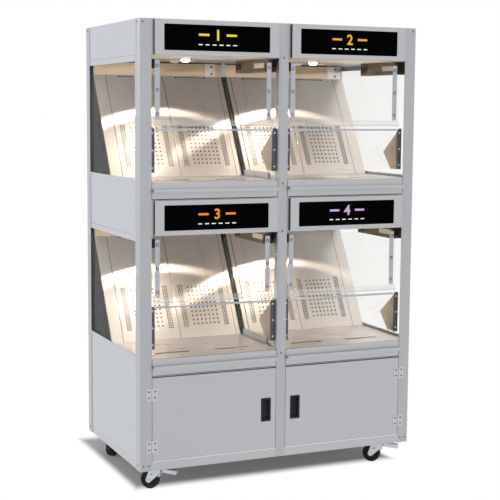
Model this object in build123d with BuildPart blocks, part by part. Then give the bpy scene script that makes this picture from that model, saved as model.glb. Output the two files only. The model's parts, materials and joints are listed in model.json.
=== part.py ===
from build123d import *
import os
from math import atan2, cos, degrees, hypot, radians, sin

os.makedirs("parts", exist_ok=True)

# A free-standing popcorn staging cabinet: two warmed tiers of two cells over a base cupboard.
# Millimetres, +Z up, the front looks along -Y. The origin is on the floor under the middle.

# Overall sizes
body_width = 1220
body_depth = 710
caster_height = 100
pull_reach = 19
sheet = 2.0
thin_sheet = 1.5

# Heights of the front, from the bottom rail upwards
rail_height = 35
door_gap = 4
door_height = 335
door_to_tier = 8
drawer_height = 66
opening_height = 488
sign_height = 138
tier_gap = 4

# Uprights
post_flange = 50
post_bend = 3
centre_post_width = 42
centre_post_depth = 30
rail_lip = 16

# Glass and clear sheets
side_glass_thickness = 5
divider_thickness = 5
glass_lap = 12
glass_end_gap = 8
clear_sheet = 4

# Side walls
sill_above_opening = 11
glass_trim_height = 24
trim_seam = 1
hem_height = 8
panel_end_gap = 4

# Slope at the back of each cell
slope_foot = 391
slope_depth = 242
slope_rise = 427
slope_clear_of_divider = 6
slope_strip_inner = 25
slope_strip_outer = 51
slope_seam = 1
slope_side_gap = 1
vent_height = 147
vent_hole = 7.5
vent_pitch = 19
vent_columns = 7
vent_rows = 10
side_vent_hole = 5.5
side_vent_pitch = 8
side_vent_columns = 3
side_vent_rows = 25
side_vent_offset = 94

# Sift trays
tray_front = 17
tray_lip = 12
tray_past_slope = 5
tray_hole = 7
tray_pitch = 24
tray_margin = 24
tray_slot_length = 145
tray_slot_width = 14
tray_slot_offset = 130
tray_slot_from_front = 96

# Divider trim
cover_strip_width = 30
cover_strip_below = 25
cover_strip_above = 14
cover_screw_inset = 12
sill_height = 25
sill_foot = 18
sill_front = 133
sill_length = 250

# Sign boxes and their covers
sign_cover_width = 521
sign_cover_margin = 1
sign_window_width = 445
sign_window_height = 100
sign_window_radius = 4
sign_proud = 14
sign_panel_thickness = 3
sign_panel_inset = 1.5

# Lamps and controls
lamp_radius = 20
lamp_depth = 16
lamp_edge = 7
lamp_offset = -40
lamp_y = 240
control_width = 58
control_height = 53
control_front = 52
control_length = 298
control_wall_gap = 0.5
rocker_length = 41
rocker_height = 17.6
rocker_proud = 3.5
rocker_hollow = 1.5
rocker_depth = 6
rocker_pivot_depth = 4
rocker_end_gap = 1.5
rocker_side_gap = 0.3
rocker_tilt = 6
rocker_from_end = 32
rocker_drop = 26

# Lower clear guards
guard_height = 206
guard_front = 19
guard_side_gap = 3.5
guard_strip_width = 18
guard_strip_low = 37
guard_strip_above = 2
guard_wing_inset = 9.5
guard_wing_flange = 9
guard_wing_depth = 126
guard_wing_top = 198
guard_wing_tip = 106
guard_wing_heel = 61

# Clear flaps hung at the top of each opening
flap_front = 27
flap_side_gap = 12
flap_above_pivot = 8
flap_straight = 228
flap_lip_drop = 24
flap_lip_reach = 12
flap_corner = 20
flap_flat_width = 20
flap_flat_inset = 32.5
flap_screw_rows = (20, 113, 206)
pivot_drop = 26
pivot_y = 36
pivot_radius = 3
pivot_fit = 0.05
ear_width = 12
ear_depth = 12
ear_below = 24
ear_above = 12
ear_corner = 6
bracket_inset = 2
bracket_thickness = 3
bracket_height = 36
bracket_top = (6, 50)
bracket_foot = (28, 43)

# Kernel drawers
drawer_side_gap = 2
drawer_top_gap = 1
drawer_return = 14
drawer_box_width = 480
drawer_box_height = 45
drawer_box_length = 368
pull_height = 14
pull_top_drop = 26
pull_inset = 1.5
runner_ledge = 12
runner_gap = 2
runner_foot = 12
runner_ledge_height = 6
runner_play = 0.3
runner_front = 26
runner_length = 360

# Base doors
door_side_gap = 1.5
door_depth = 20
door_hem = 12
door_pull_width = 44
door_pull_height = 98
door_pull_x = 66
door_pull_z = 303
door_pull_rim = 2
door_pull_depth = 14
door_pull_wall = 1.5
door_pull_rim_width = 3
door_stop_drop = 24
hinge_height = 50
hinge_heights = (198, 408)
hinge_leaf = 23
hinge_leaf_thickness = 1.5
hinge_barrel = 3
hinge_pin = 1.5
hinge_fit = 0.05
hinge_drop = 3.2
hinge_clearance = 0.3
hinge_knuckles = 5

# Casters
wheel_radius = 38
wheel_width = 32
wheel_edge = 7
wheel_hub_radius = 12
caster_plate_length = 95
caster_plate_width = 80
caster_plate_thickness = 4
caster_x = 512
caster_inset = 81
caster_trail = 28
race_radius = 22
race_height = 3.7
crown_radius = 25
crown_thickness = 4
kingpin_radius = 5
kingpin_nut_radius = 8
kingpin_nut_height = 3.7
fork_leg = 3
leg_root = 20
fork_hub_radius = 11
fork_hole_radius = 3
axle_radius = 4
axle_fit = 0.05
axle_nut = 7
nut_sides = 6
running_gap = 0.3
caster_headings = {
    "front_left": 138,
    "front_right": 138,
    "rear_left": 224,
    "rear_right": 224,
}
brake_pin_forward = 20
brake_pin_height = 76
brake_pin_radius = 3
brake_hub_radius = 5.5
brake_width = 26
brake_reach = 88
brake_top = 85
brake_tip = 68
brake_wall = 2
brake_shoe_radius = 3.5
brake_shoe_side = 12
brake_shoe_drop = 18

# Heaters, inlet, vents and screws
heater_width = 300
heater_depth = 150
heater_height = 138
heater_front = 450
heater_corner = 4
heater_collar_radius = 45
heater_collar_height = 14
louvre_width = 130
louvre_height = 8
louvre_pitch = 22
louvre_rows = 6
louvre_radius = 3.5
louvre_cut = 6
inlet_x = 430
inlet_z = 190
inlet_width = 62
inlet_height = 44
inlet_socket_width = 34
inlet_socket_height = 26
inlet_socket_depth = 20
inlet_wall = 3
inlet_lap = 3
service_seam = 0.5
inlet_pin = (2, 7, 9)
inlet_pin_spread = 9
screw_radius = 3.5
screw_height = 1.5
screw_dome = 0.9
post_screw_from_top = 13
post_screw_from_foot = 21
post_screw_from_edge = 14

# Places worked out from the sizes
half_width = body_width / 2
y_front = -(body_depth - pull_reach) / 2
y_rear = y_front + body_depth
y_middle = (y_front + y_rear) / 2
z_base = caster_height
door_low = z_base + rail_height + door_gap
door_high = door_low + door_height
tier_pitch = drawer_height + opening_height + sign_height + tier_gap
tier_names = ("lower", "upper")
tier_base = {name: door_high + door_to_tier + i * tier_pitch for i, name in enumerate(tier_names)}
opening_low = {name: tier_base[name] + drawer_height for name in tier_names}
opening_high = {name: opening_low[name] + opening_height for name in tier_names}
deck_top = {name: tier_base[name] - tier_gap + sheet for name in tier_names}
z_top = opening_high["upper"] + sign_height
bay_inner = centre_post_width / 2
bay_outer = half_width - post_flange
bay_middle = (bay_inner + bay_outer) / 2
bay_half = (bay_outer - bay_inner) / 2
panel_face = half_width - sheet
panel_back = panel_face - sheet
glass_back = panel_back - side_glass_thickness
slope_angle = degrees(atan2(slope_depth, slope_rise))
slope_length = hypot(slope_depth, slope_rise)
header_y = y_front + slope_foot + slope_depth
sides = {"left": -1, "right": 1}
cells = [(tier, side) for tier in tier_names for side in sides]
front_rear = {"front": (y_front, 1), "rear": (y_rear, -1)}


def span(a, b):
    """Two ends of a length, the lower one first."""
    return (min(a, b), max(a, b))


def block(x, y, z, mode=Mode.ADD):
    """A block in the part in hand, from its two ends along x, y and z."""
    size = [high - low for low, high in (x, y, z)]
    middle = [(low + high) / 2 for low, high in (x, y, z)]
    with Locations(tuple(middle)):
        Box(*size, mode=mode)


def facing_front(x, y, z):
    """A plane across the cabinet at one point, with x to the right and its normal to the front."""
    return Plane(origin=(x, y, z), x_dir=(1, 0, 0), z_dir=(0, -1, 0))


def bay_span(side, low, high):
    """Two ends along x, given as distances from the middle of the bay on one side."""
    middle = sides[side] * bay_middle
    return (middle + low, middle + high)


# Screw heads: a shallow dome on a flat face, looking up
with BuildPart() as screw_head:
    Cylinder(screw_radius, screw_height, align=(Align.CENTER, Align.CENTER, Align.MIN))
    fillet(screw_head.edges().group_by(Axis.Z)[-1], screw_dome)

turn_to_front = (90, 0, 0)
turn_to_side = {"left": (0, -90, 0), "right": (0, 90, 0)}

# Uprights: four corner angles and a channel in the middle of the front and of the rear
with BuildPart() as upright_posts:
    with BuildSketch(Plane.XY.offset(z_base)) as angle_profile:
        with BuildLine():
            Polyline(
                (half_width, y_front),
                (half_width, y_front + post_flange),
                (panel_face, y_front + post_flange),
                (panel_face, y_front + sheet),
                (bay_outer, y_front + sheet),
                (bay_outer, y_front),
                close=True,
            )
        make_face()
        outside = angle_profile.vertices().sort_by_distance((half_width, y_front, 0))[0]
        fillet(outside, post_bend)
        inside = angle_profile.vertices().sort_by_distance((panel_face, y_front + sheet, 0))[0]
        fillet(inside, post_bend - sheet)
    extrude(amount=z_top - z_base)
    mirror(about=Plane.YZ)
    mirror(about=Plane.XZ.offset(-y_middle))
    for y_face, inward in front_rear.values():
        y_web = span(y_face, y_face + inward * sheet)
        y_leg = span(y_face, y_face + inward * centre_post_depth)
        block((-bay_inner, bay_inner), y_web, (z_base, z_top))
        for sign in (-1, 1):
            block(span(sign * (bay_inner - sheet), sign * bay_inner), y_leg, (z_base, z_top))

upright_posts.part.label = "upright_posts"
export_step(upright_posts.part, "parts/upright_posts.step")


# Bottom rails: angles round the base, their lips turned inwards
with BuildPart() as base_rails:
    lip_z = (z_base + rail_height - sheet, z_base + rail_height)
    for sign in (-1, 1):
        for y_face, inward in front_rear.values():
            x_rail = span(sign * bay_inner, sign * bay_outer)
            y_lip = span(y_face, y_face + inward * (sheet + rail_lip))
            block(x_rail, span(y_face, y_face + inward * sheet), (z_base, z_base + rail_height))
            block(x_rail, y_lip, lip_z)
        y_side = (y_front + panel_end_gap, y_rear - panel_end_gap)
        x_face = span(sign * panel_back, sign * panel_face)
        block(x_face, y_side, (z_base, z_base + rail_height))
        x_lip = span(sign * (panel_back - rail_lip), sign * panel_face)
        y_short = (y_front + panel_end_gap + rail_lip, y_rear - panel_end_gap - rail_lip)
        block(x_lip, y_short, lip_z)

base_rails.part.label = "base_rails"
export_step(base_rails.part, "parts/base_rails.step")


def notched_plate(y, z, half_span=panel_back):
    """A plate across the cabinet, notched round the centre posts that it meets."""
    block((-half_span, half_span), y, z)
    for y_face, inward in front_rear.values():
        y_notch = span(y_face, y_face + inward * centre_post_depth)
        if y_notch[0] < y[1] and y_notch[1] > y[0]:
            block((-bay_inner, bay_inner), y_notch, z, mode=Mode.SUBTRACT)


# Decks: the floor of the base cupboard with a stop for the doors, one under each tier, the roof
with BuildPart() as decks:
    notched_plate((y_front + sheet, y_rear - sheet), (z_base, z_base + sheet))
    for tier in tier_names:
        z_deck = (deck_top[tier] - sheet, deck_top[tier])
        notched_plate((y_front + sheet, y_rear - 2 * sheet), z_deck)
    y_stop = (y_front + door_depth + sheet, y_front + door_depth + 2 * sheet)
    z_stop = (deck_top["lower"] - sheet - door_stop_drop, deck_top["lower"] - sheet)
    for sign in (-1, 1):
        block(span(sign * bay_inner, sign * panel_back), y_stop, z_stop)
    notched_plate((y_front + sheet, y_rear - sheet), (z_top - 2 * sheet, z_top - sheet))

decks.part.label = "decks"
export_step(decks.part, "parts/decks.step")


def side_panel(sign, low, high, hemmed=False):
    """One side wall panel behind the corner posts, with a raised hem along its top if asked."""
    x_panel = span(sign * panel_back, sign * panel_face)
    block(x_panel, (y_front + panel_end_gap, y_rear - panel_end_gap), (low, high))
    if hemmed:
        y_hem = (y_front + post_flange, y_rear - post_flange)
        block(span(sign * panel_back, sign * half_width), y_hem, (high - hem_height, high))


def rear_panel(sign, low, high):
    """One rear wall panel of a bay, with rows of round-ended air slots."""
    x_panel = span(sign * bay_inner, sign * panel_back)
    block(x_panel, (y_rear - 2 * sheet, y_rear - sheet), (low, high))
    with BuildSketch(facing_front(sign * bay_middle, y_rear, (low + high) / 2)) as slots:
        with GridLocations(0, louvre_pitch, 1, louvre_rows):
            RectangleRounded(louvre_width, louvre_height, louvre_radius)
    extrude(slots.sketch, amount=louvre_cut, mode=Mode.SUBTRACT)


# Wall panels: sides and rear
with BuildPart() as wall_panels:
    for sign in (-1, 1):
        side_panel(sign, z_base + rail_height, opening_low["lower"] + sill_above_opening, True)
        side_panel(sign, opening_high["lower"], opening_low["upper"] + sill_above_opening, True)
        side_panel(sign, opening_high["upper"], z_top)
        for tier in tier_names:
            trim_low = opening_high[tier] - glass_trim_height
            side_panel(sign, trim_low, opening_high[tier] - trim_seam)
        rear_panel(sign, deck_top["lower"], deck_top["upper"] - trim_seam)
        rear_panel(sign, deck_top["upper"], z_top - 2 * sheet)
    rear_panel(-1, z_base + rail_height, deck_top["lower"] - trim_seam)

wall_panels.part.label = "wall_panels"
export_step(wall_panels.part, "parts/wall_panels.step")


# Service panel: the rear wall of the base cupboard's right bay. Two narrow strips stand between
# its wide sheets, one above the power inlet and one below, and cover the wiring
with BuildPart() as service_panel:
    z_service = (z_base + rail_height, deck_top["lower"] - trim_seam)
    y_service = (y_rear - 2 * sheet, y_rear - sheet)
    rear_panel(1, *z_service)
    hole_x = inlet_width / 2 - inlet_lap
    hole_z = inlet_height / 2 - inlet_lap
    x_hole = (inlet_x - hole_x, inlet_x + hole_x)
    block(x_hole, y_service, (inlet_z - hole_z, inlet_z + hole_z), mode=Mode.SUBTRACT)
    for x_seam in x_hole:
        block((x_seam, x_seam + service_seam), y_service, z_service, mode=Mode.SUBTRACT)

service_panel.part.label = "service_panel"
export_step(service_panel.part, "parts/service_panel.step")


# Side glass, lapped behind the panels and the trim
with BuildPart() as side_glass:
    for sign in (-1, 1):
        for tier in tier_names:
            glass_low = opening_low[tier] + sill_above_opening - glass_lap
            glass_high = opening_high[tier] - glass_trim_height + glass_lap
            x_glass = span(sign * glass_back, sign * panel_back)
            y_glass = (y_front + glass_end_gap, y_rear - glass_end_gap)
            block(x_glass, y_glass, (glass_low, glass_high))

side_glass.part.label = "side_glass"
export_step(side_glass.part, "parts/side_glass.step")


# Divider glass between the cells of a tier
divider_front = y_front + centre_post_depth + sheet
with BuildPart() as divider_glass:
    for tier in tier_names:
        x_glass = (-divider_thickness / 2, divider_thickness / 2)
        block(x_glass, (divider_front, header_y - sheet), (deck_top[tier], opening_high[tier]))

divider_glass.part.label = "divider_glass"
export_step(divider_glass.part, "parts/divider_glass.step")


# Divider trim: cover strips on the centre post and sills along the foot of the glass
with BuildPart() as divider_trim:
    for tier in tier_names:
        z_strip = (opening_low[tier] - cover_strip_below, opening_high[tier] + cover_strip_above)
        x_strip = (-cover_strip_width / 2, cover_strip_width / 2)
        block(x_strip, (y_front - thin_sheet, y_front), z_strip)
        for sign in (-1, 1):
            x_near = sign * divider_thickness / 2
            y_sill = (y_front + sill_front, y_front + sill_front + sill_length)
            z_sill = (opening_low[tier], opening_low[tier] + sill_height)
            block(span(x_near, x_near + sign * thin_sheet), y_sill, z_sill)
            z_foot = (opening_low[tier], opening_low[tier] + thin_sheet)
            block(span(x_near, x_near + sign * sill_foot), y_sill, z_foot)

divider_trim.part.label = "divider_trim"
export_step(divider_trim.part, "parts/divider_trim.step")


def slope_panel(sign, tier, inner, outer, vented):
    """One leaning sheet at the back of a cell, with square air holes if it is a vented one."""
    lean = radians(slope_angle)
    rest = thin_sheet * sin(lean)
    foot = (0, y_front + slope_foot, opening_low[tier] + rest)
    face = Plane(origin=foot, x_dir=(1, 0, 0), z_dir=(0, -cos(lean), sin(lean)))
    x_low, x_high = span(sign * inner, sign * outer)
    length = slope_length - rest / cos(lean)
    with BuildPart() as panel:
        with BuildSketch(face):
            with Locations(((x_low + x_high) / 2, length / 2)):
                Rectangle(x_high - x_low, length)
            if vented:
                with Locations(((x_low + x_high) / 2, vent_height)):
                    with GridLocations(vent_pitch, vent_pitch, vent_columns, vent_rows):
                        Rectangle(vent_hole, vent_hole, mode=Mode.SUBTRACT)
                    with GridLocations(2 * side_vent_offset, 0, 2, 1):
                        with GridLocations(
                            side_vent_pitch, side_vent_pitch, side_vent_columns, side_vent_rows
                        ):
                            Rectangle(side_vent_hole, side_vent_hole, mode=Mode.SUBTRACT)
        extrude(amount=-thin_sheet)
    return panel.part


# Slope panels: in each cell two vented panels between two plain strips
slope_outer = glass_back - slope_side_gap
slope_edges = (
    slope_clear_of_divider,
    slope_clear_of_divider + slope_strip_inner,
    (slope_clear_of_divider + slope_strip_inner + slope_outer - slope_strip_outer) / 2,
    slope_outer - slope_strip_outer,
    slope_outer,
)
with BuildPart() as slope_panels:
    sheets = []
    for tier, side in cells:
        for i, (inner, outer) in enumerate(zip(slope_edges, slope_edges[1:])):
            near = inner + slope_seam / 2
            far = outer - slope_seam / 2
            sheets.append(slope_panel(sides[side], tier, near, far, i in (1, 2)))
    add(sheets)

slope_panels.part.label = "slope_panels"
export_step(slope_panels.part, "parts/slope_panels.step", write_pcurves=False)


# Sign boxes: front plates, the ceiling of the cells and the header behind them, in one
with BuildPart() as sign_boxes:
    for tier in tier_names:
        ceiling = opening_high[tier]
        notched_plate((y_front + sheet, header_y + sheet), (ceiling, ceiling + sheet))
        z_header = (opening_low[tier] + slope_rise, ceiling)
        block((-slope_outer, slope_outer), (header_y, header_y + sheet), z_header)
        for sign in (-1, 1):
            x_plate = span(sign * bay_inner, sign * bay_outer)
            block(x_plate, (y_front, y_front + sheet), (ceiling, ceiling + sign_height))

sign_boxes.part.label = "sign_boxes"
export_step(sign_boxes.part, "parts/sign_boxes.step")


def sign_cover(tier, side):
    """The steel frame of one sign, with its window."""
    z_middle = opening_high[tier] + sign_height / 2
    with BuildPart() as cover:
        x_middle = sides[side] * bay_middle
        with BuildSketch(facing_front(x_middle, y_front - sign_proud, z_middle)):
            Rectangle(sign_cover_width, sign_height - 2 * sign_cover_margin)
            RectangleRounded(
                sign_window_width, sign_window_height, sign_window_radius, mode=Mode.SUBTRACT
            )
        extrude(amount=-sheet)
    return cover.part


# Sign covers stand proud of the front on the trays of the sign panels
with BuildPart() as sign_covers:
    for tier, side in cells:
        add(sign_cover(tier, side))

sign_covers.part.label = "sign_covers"
export_step(sign_covers.part, "parts/sign_covers.step")


# Sign panels: black trays, open towards the cabinet
with BuildPart() as sign_panels:
    for tier, side in cells:
        half = sign_cover_width / 2 - sign_panel_inset
        low = opening_high[tier] + sign_cover_margin + sign_panel_inset
        high = opening_high[tier] + sign_height - sign_cover_margin - sign_panel_inset
        y_face = y_front - sign_proud + sheet
        wall = sign_panel_thickness
        block(bay_span(side, -half, half), (y_face, y_front), (low, high))
        x_hollow = bay_span(side, wall - half, half - wall)
        block(x_hollow, (y_face + wall, y_front), (low + wall, high - wall), mode=Mode.SUBTRACT)

sign_panels.part.label = "sign_panels"
export_step(sign_panels.part, "parts/sign_panels.step")


# Lamp lenses under the ceiling of each cell
with BuildPart() as lamp_lenses:
    for tier, side in cells:
        x_lamp = sides[side] * bay_middle + lamp_offset
        with Locations((x_lamp, y_front + lamp_y, opening_high[tier])):
            Cylinder(lamp_radius, lamp_depth, align=(Align.CENTER, Align.CENTER, Align.MAX))
        lens_rim = lamp_lenses.edges(Select.LAST).filter_by(GeomType.CIRCLE).group_by(Axis.Z)[0]
        fillet(lens_rim, lamp_edge)

lamp_lenses.part.label = "lamp_lenses"
export_step(lamp_lenses.part, "parts/lamp_lenses.step")


# Control boxes high on the right wall of each cell, open to the ceiling, cut for a rocker
cell_right_wall = {"left": -divider_thickness / 2, "right": glass_back}
control_face = {
    side: cell_right_wall[side] - control_wall_gap - control_width for side in sides
}
rocker_y = y_front + control_front + control_length - rocker_from_end
with BuildPart() as control_boxes:
    for tier, side in cells:
        face = control_face[side]
        low = opening_high[tier] - control_height
        y_box = (y_front + control_front, y_front + control_front + control_length)
        block((face, face + control_width), y_box, (low, opening_high[tier]))
        x_hollow = (face + thin_sheet, face + control_width - thin_sheet)
        y_hollow = (y_box[0] + thin_sheet, y_box[1] - thin_sheet)
        z_hollow = (low + thin_sheet, opening_high[tier])
        block(x_hollow, y_hollow, z_hollow, mode=Mode.SUBTRACT)
        half_slot = rocker_length / 2 + rocker_end_gap
        half_rise = rocker_height / 2 + rocker_side_gap
        z_rocker = opening_high[tier] - rocker_drop
        y_slot = (rocker_y - half_slot, rocker_y + half_slot)
        z_slot = (z_rocker - half_rise, z_rocker + half_rise)
        block((face, face + thin_sheet), y_slot, z_slot, mode=Mode.SUBTRACT)

control_boxes.part.label = "control_boxes"
export_step(control_boxes.part, "parts/control_boxes.step")


# Rockers: each lies tilted on its upright pivot, one end pressed in
for tier, side in cells:
    with BuildPart() as rocker:
        low = opening_high[tier] - rocker_drop - rocker_height / 2
        pivot = (control_face[side] + rocker_pivot_depth, rocker_y)
        top = -rocker_pivot_depth - rocker_proud
        hollow = top + rocker_hollow
        back = rocker_depth - rocker_pivot_depth
        with BuildSketch(Plane.XY.offset(low)) as rocker_profile:
            with Locations(Location((pivot[0], pivot[1], 0), (0, 0, -rocker_tilt))):
                Polygon(
                    (top, -rocker_length / 2),
                    (hollow, 0),
                    (top, rocker_length / 2),
                    (back, rocker_length / 2),
                    (back, -rocker_length / 2),
                    align=None,
                )
        extrude(amount=rocker_height)
    rocker.part.label = f"rocker_{tier}_{side}"
    export_step(rocker.part, f"parts/rocker_{tier}_{side}.step")


def sift_tray(tier, side):
    """One perforated floor with two chutes, notched round the post, with a lip in front."""
    sign = sides[side]
    x_low, x_high = span(sign * slope_clear_of_divider, sign * slope_outer)
    x_middle = (x_low + x_high) / 2
    front = y_front + tray_front
    length = slope_foot + tray_past_slope - tray_front
    field_middle = y_front + (tray_front + slope_foot) / 2
    rows = int((slope_foot - tray_front - 2 * tray_margin) // tray_pitch)
    columns = int((x_high - x_low - 2 * tray_margin) // tray_pitch)
    land_length = tray_slot_length + 2 * tray_hole
    land_width = tray_slot_width + 2 * tray_hole
    with BuildPart() as tray:
        with BuildSketch(Plane.XY.offset(opening_low[tier])):
            with Locations((x_middle, front)):
                Rectangle(x_high - x_low, length, align=(Align.CENTER, Align.MIN))
            with Locations((0, y_front)):
                post = (2 * bay_inner, 2 * centre_post_depth)
                Rectangle(*post, mode=Mode.SUBTRACT)
            with Locations((x_middle, field_middle)):
                with GridLocations(tray_pitch, tray_pitch, columns, rows):
                    Rectangle(tray_hole, tray_hole, mode=Mode.SUBTRACT)
            with Locations((x_middle, front + tray_slot_from_front)):
                with GridLocations(2 * tray_slot_offset, 0, 2, 1):
                    Rectangle(land_length, land_width)
                    Rectangle(tray_slot_length, tray_slot_width, mode=Mode.SUBTRACT)
        extrude(amount=-thin_sheet)
        x_lip = bay_span(side, -bay_half + drawer_side_gap, bay_half - drawer_side_gap)
        z_lip = (opening_low[tier] - tray_lip, opening_low[tier] - thin_sheet)
        block(x_lip, (front, front + thin_sheet), z_lip)
    return tray.part


# Sift trays: the floors of the cells, on the drawer runners
with BuildPart() as sift_trays:
    add([sift_tray(tier, side) for tier, side in cells])

sift_trays.part.label = "sift_trays"
export_step(sift_trays.part, "parts/sift_trays.step", write_pcurves=False)


# Guard sheets: clear fronts that stand on the trays
guard_back = guard_front + clear_sheet
with BuildPart() as guard_sheets:
    for tier, side in cells:
        half = bay_half - guard_side_gap
        y_guard = (y_front + guard_front, y_front + guard_back)
        z_guard = (opening_low[tier], opening_low[tier] + guard_height)
        block(bay_span(side, -half, half), y_guard, z_guard)

guard_sheets.part.label = "guard_sheets"
export_step(guard_sheets.part, "parts/guard_sheets.step")


# Guard brackets: strips before the sheet, and winged angles behind it
with BuildPart() as guard_brackets:
    for tier, side in cells:
        floor = opening_low[tier]
        z_strip = (floor + guard_strip_low, floor + guard_height + guard_strip_above)
        for end in (-1, 1):
            x_strip = bay_span(side, *span(end * (bay_half - guard_strip_width), end * bay_half))
            block(x_strip, (y_front + guard_front - sheet, y_front + guard_front), z_strip)
            wing = bay_half - guard_wing_inset
            x_flange = bay_span(side, *span(end * (wing - guard_wing_flange), end * wing))
            y_flange = (y_front + guard_back, y_front + guard_back + sheet)
            z_flange = (floor + guard_strip_low, floor + guard_wing_top)
            block(x_flange, y_flange, z_flange)
            x_wing = bay_span(side, *span(end * (wing - sheet), end * wing))
            near = y_flange[0]
            with BuildSketch(Plane.YZ.offset(x_wing[0])) as wing_profile:
                with BuildLine():
                    Polyline(
                        (near, floor + guard_strip_low),
                        (near + guard_wing_heel, floor + guard_strip_low),
                        (near + guard_wing_depth, floor + guard_wing_tip),
                        (near + clear_sheet + sheet, floor + guard_wing_top),
                        (near, floor + guard_wing_top),
                        close=True,
                    )
                make_face()
            extrude(wing_profile.sketch, amount=sheet)

guard_brackets.part.label = "guard_brackets"
export_step(guard_brackets.part, "parts/guard_brackets.step")


# Flap brackets: gussets under the ceiling, each with a pin towards the flap
flap_half = bay_half - flap_side_gap
with BuildPart() as flap_brackets:
    for tier, side in cells:
        ceiling = opening_high[tier]
        for end in (-1, 1):
            outer = bay_half - bracket_inset
            x_gusset = bay_span(side, *span(end * (outer - bracket_thickness), end * outer))
            with BuildSketch(Plane.YZ.offset(x_gusset[0])) as gusset:
                with BuildLine():
                    Polyline(
                        (y_front + bracket_top[0], ceiling),
                        (y_front + bracket_top[1], ceiling),
                        (y_front + bracket_foot[1], ceiling - bracket_height),
                        (y_front + bracket_foot[0], ceiling - bracket_height),
                        close=True,
                    )
                make_face()
            extrude(gusset.sketch, amount=bracket_thickness)
            pin_x = bay_span(side, *span(end * (flap_half - ear_width), end * outer))
            with Locations(((pin_x[0] + pin_x[1]) / 2, y_front + pivot_y, ceiling - pivot_drop)):
                Cylinder(pivot_radius, pin_x[1] - pin_x[0], rotation=(0, 90, 0))

flap_brackets.part.label = "flap_brackets"
export_step(flap_brackets.part, "parts/flap_brackets.step")


# Flaps: a clear sheet with a turned-out lip, two flats with their rivets, two pivot ears
for tier, side in cells:
    z_pivot = opening_high[tier] - pivot_drop
    flap_high = z_pivot + flap_above_pivot
    flap_low = flap_high - flap_straight
    near = y_front + flap_front
    x_flap = bay_span(side, -flap_half, flap_half)
    with BuildPart() as flap_sheet:
        with BuildSketch(Plane.YZ.offset(x_flap[0])):
            with BuildLine():
                Polyline(
                    (near, flap_high),
                    (near, flap_low),
                    (near - flap_lip_reach, flap_low - flap_lip_drop),
                )
                offset(amount=clear_sheet, side=Side.LEFT, closed=True)
            make_face()
        extrude(amount=x_flap[1] - x_flap[0])
        top_corners = flap_sheet.edges().filter_by(Axis.Y).group_by(Axis.Z)[-1]
        fillet(top_corners, flap_corner)
    flap_sheet.part.label = f"flap_sheet_{tier}_{side}"
    export_step(flap_sheet.part, f"parts/flap_sheet_{tier}_{side}.step")

    with BuildPart() as flap_flats:
        for end in (-1, 1):
            flat_middle = sides[side] * bay_middle + end * (bay_half - flap_flat_inset)
            half = flap_flat_width / 2
            x_flat = (flat_middle - half, flat_middle + half)
            block(x_flat, (near - sheet, near), (flap_low, flap_high))
            for drop in flap_screw_rows:
                with Locations(Location((flat_middle, near - sheet, flap_high - drop), turn_to_front)):
                    add(screw_head.part)
    flap_flats.part.label = f"flap_flats_{tier}_{side}"
    export_step(flap_flats.part, f"parts/flap_flats_{tier}_{side}.step")

    with BuildPart() as flap_ears:
        y_ear = (near + clear_sheet, near + clear_sheet + ear_depth)
        for end in (-1, 1):
            x_ear = bay_span(side, *span(end * (flap_half - ear_width), end * flap_half))
            block(x_ear, y_ear, (z_pivot - ear_below, z_pivot + ear_above))
        back_edges = flap_ears.edges().filter_by(Axis.X).group_by(Axis.Y)[-1]
        fillet(back_edges, ear_corner)
        with Locations((sides[side] * bay_middle, y_front + pivot_y, z_pivot)):
            Cylinder(
                pivot_radius + pivot_fit, 2 * bay_half, rotation=(0, 90, 0), mode=Mode.SUBTRACT
            )
    flap_ears.part.label = f"flap_ears_{tier}_{side}"
    export_step(flap_ears.part, f"parts/flap_ears_{tier}_{side}.step")


# Kernel drawers: a folded front with a full-width pull, and a shallow box behind it
box_half = drawer_box_width / 2
for tier, side in cells:
    with BuildPart() as kernel_drawer:
        base = tier_base[tier] + drawer_top_gap
        top = opening_low[tier]
        half = bay_half - drawer_side_gap
        y_return = (y_front, y_front + drawer_return)
        block(bay_span(side, -half, half), y_return, (base, top))
        x_inside = bay_span(side, sheet - half, half - sheet)
        y_inside = (y_front + sheet, y_front + drawer_return)
        block(x_inside, y_inside, (base + sheet, top - sheet), mode=Mode.SUBTRACT)
        pull_half = half - pull_inset
        pull_high = top - pull_top_drop
        x_pull = bay_span(side, -pull_half, pull_half)
        y_out = y_front - pull_reach
        block(x_pull, (y_out, y_front), (pull_high - sheet, pull_high))
        block(x_pull, (y_out, y_out + sheet), (pull_high - pull_height, pull_high))
        floor = deck_top[tier] + runner_ledge_height + thin_sheet + runner_play
        y_box = (y_front + sheet, y_front + sheet + drawer_box_length)
        block(bay_span(side, -box_half, box_half), y_box, (floor, floor + drawer_box_height))
        x_hollow = bay_span(side, thin_sheet - box_half, box_half - thin_sheet)
        y_hollow = (y_box[0], y_box[1] - thin_sheet)
        z_hollow = (floor + thin_sheet, floor + drawer_box_height)
        block(x_hollow, y_hollow, z_hollow, mode=Mode.SUBTRACT)
    kernel_drawer.part.label = f"kernel_drawer_{tier}_{side}"
    export_step(kernel_drawer.part, f"parts/kernel_drawer_{tier}_{side}.step")


# Drawer runners: folded sheets on the deck that carry a drawer's edge and the tray above
with BuildPart() as drawer_runners:
    y_runner = (y_front + runner_front, y_front + runner_front + runner_length)
    for tier, side in cells:
        low = deck_top[tier]
        high = opening_low[tier] - thin_sheet
        web = box_half + runner_gap
        for end in (-1, 1):
            x_web = bay_span(side, *span(end * web, end * (web + thin_sheet)))
            block(x_web, y_runner, (low, high))
            x_foot = bay_span(side, *span(end * web, end * (web + runner_foot)))
            block(x_foot, y_runner, (low, low + thin_sheet))
            block(x_foot, y_runner, (high - thin_sheet, high))
            x_ledge = bay_span(side, *span(end * (web - runner_ledge), end * web))
            z_ledge = (low + runner_ledge_height, low + runner_ledge_height + thin_sheet)
            block(x_ledge, y_runner, z_ledge)

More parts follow.
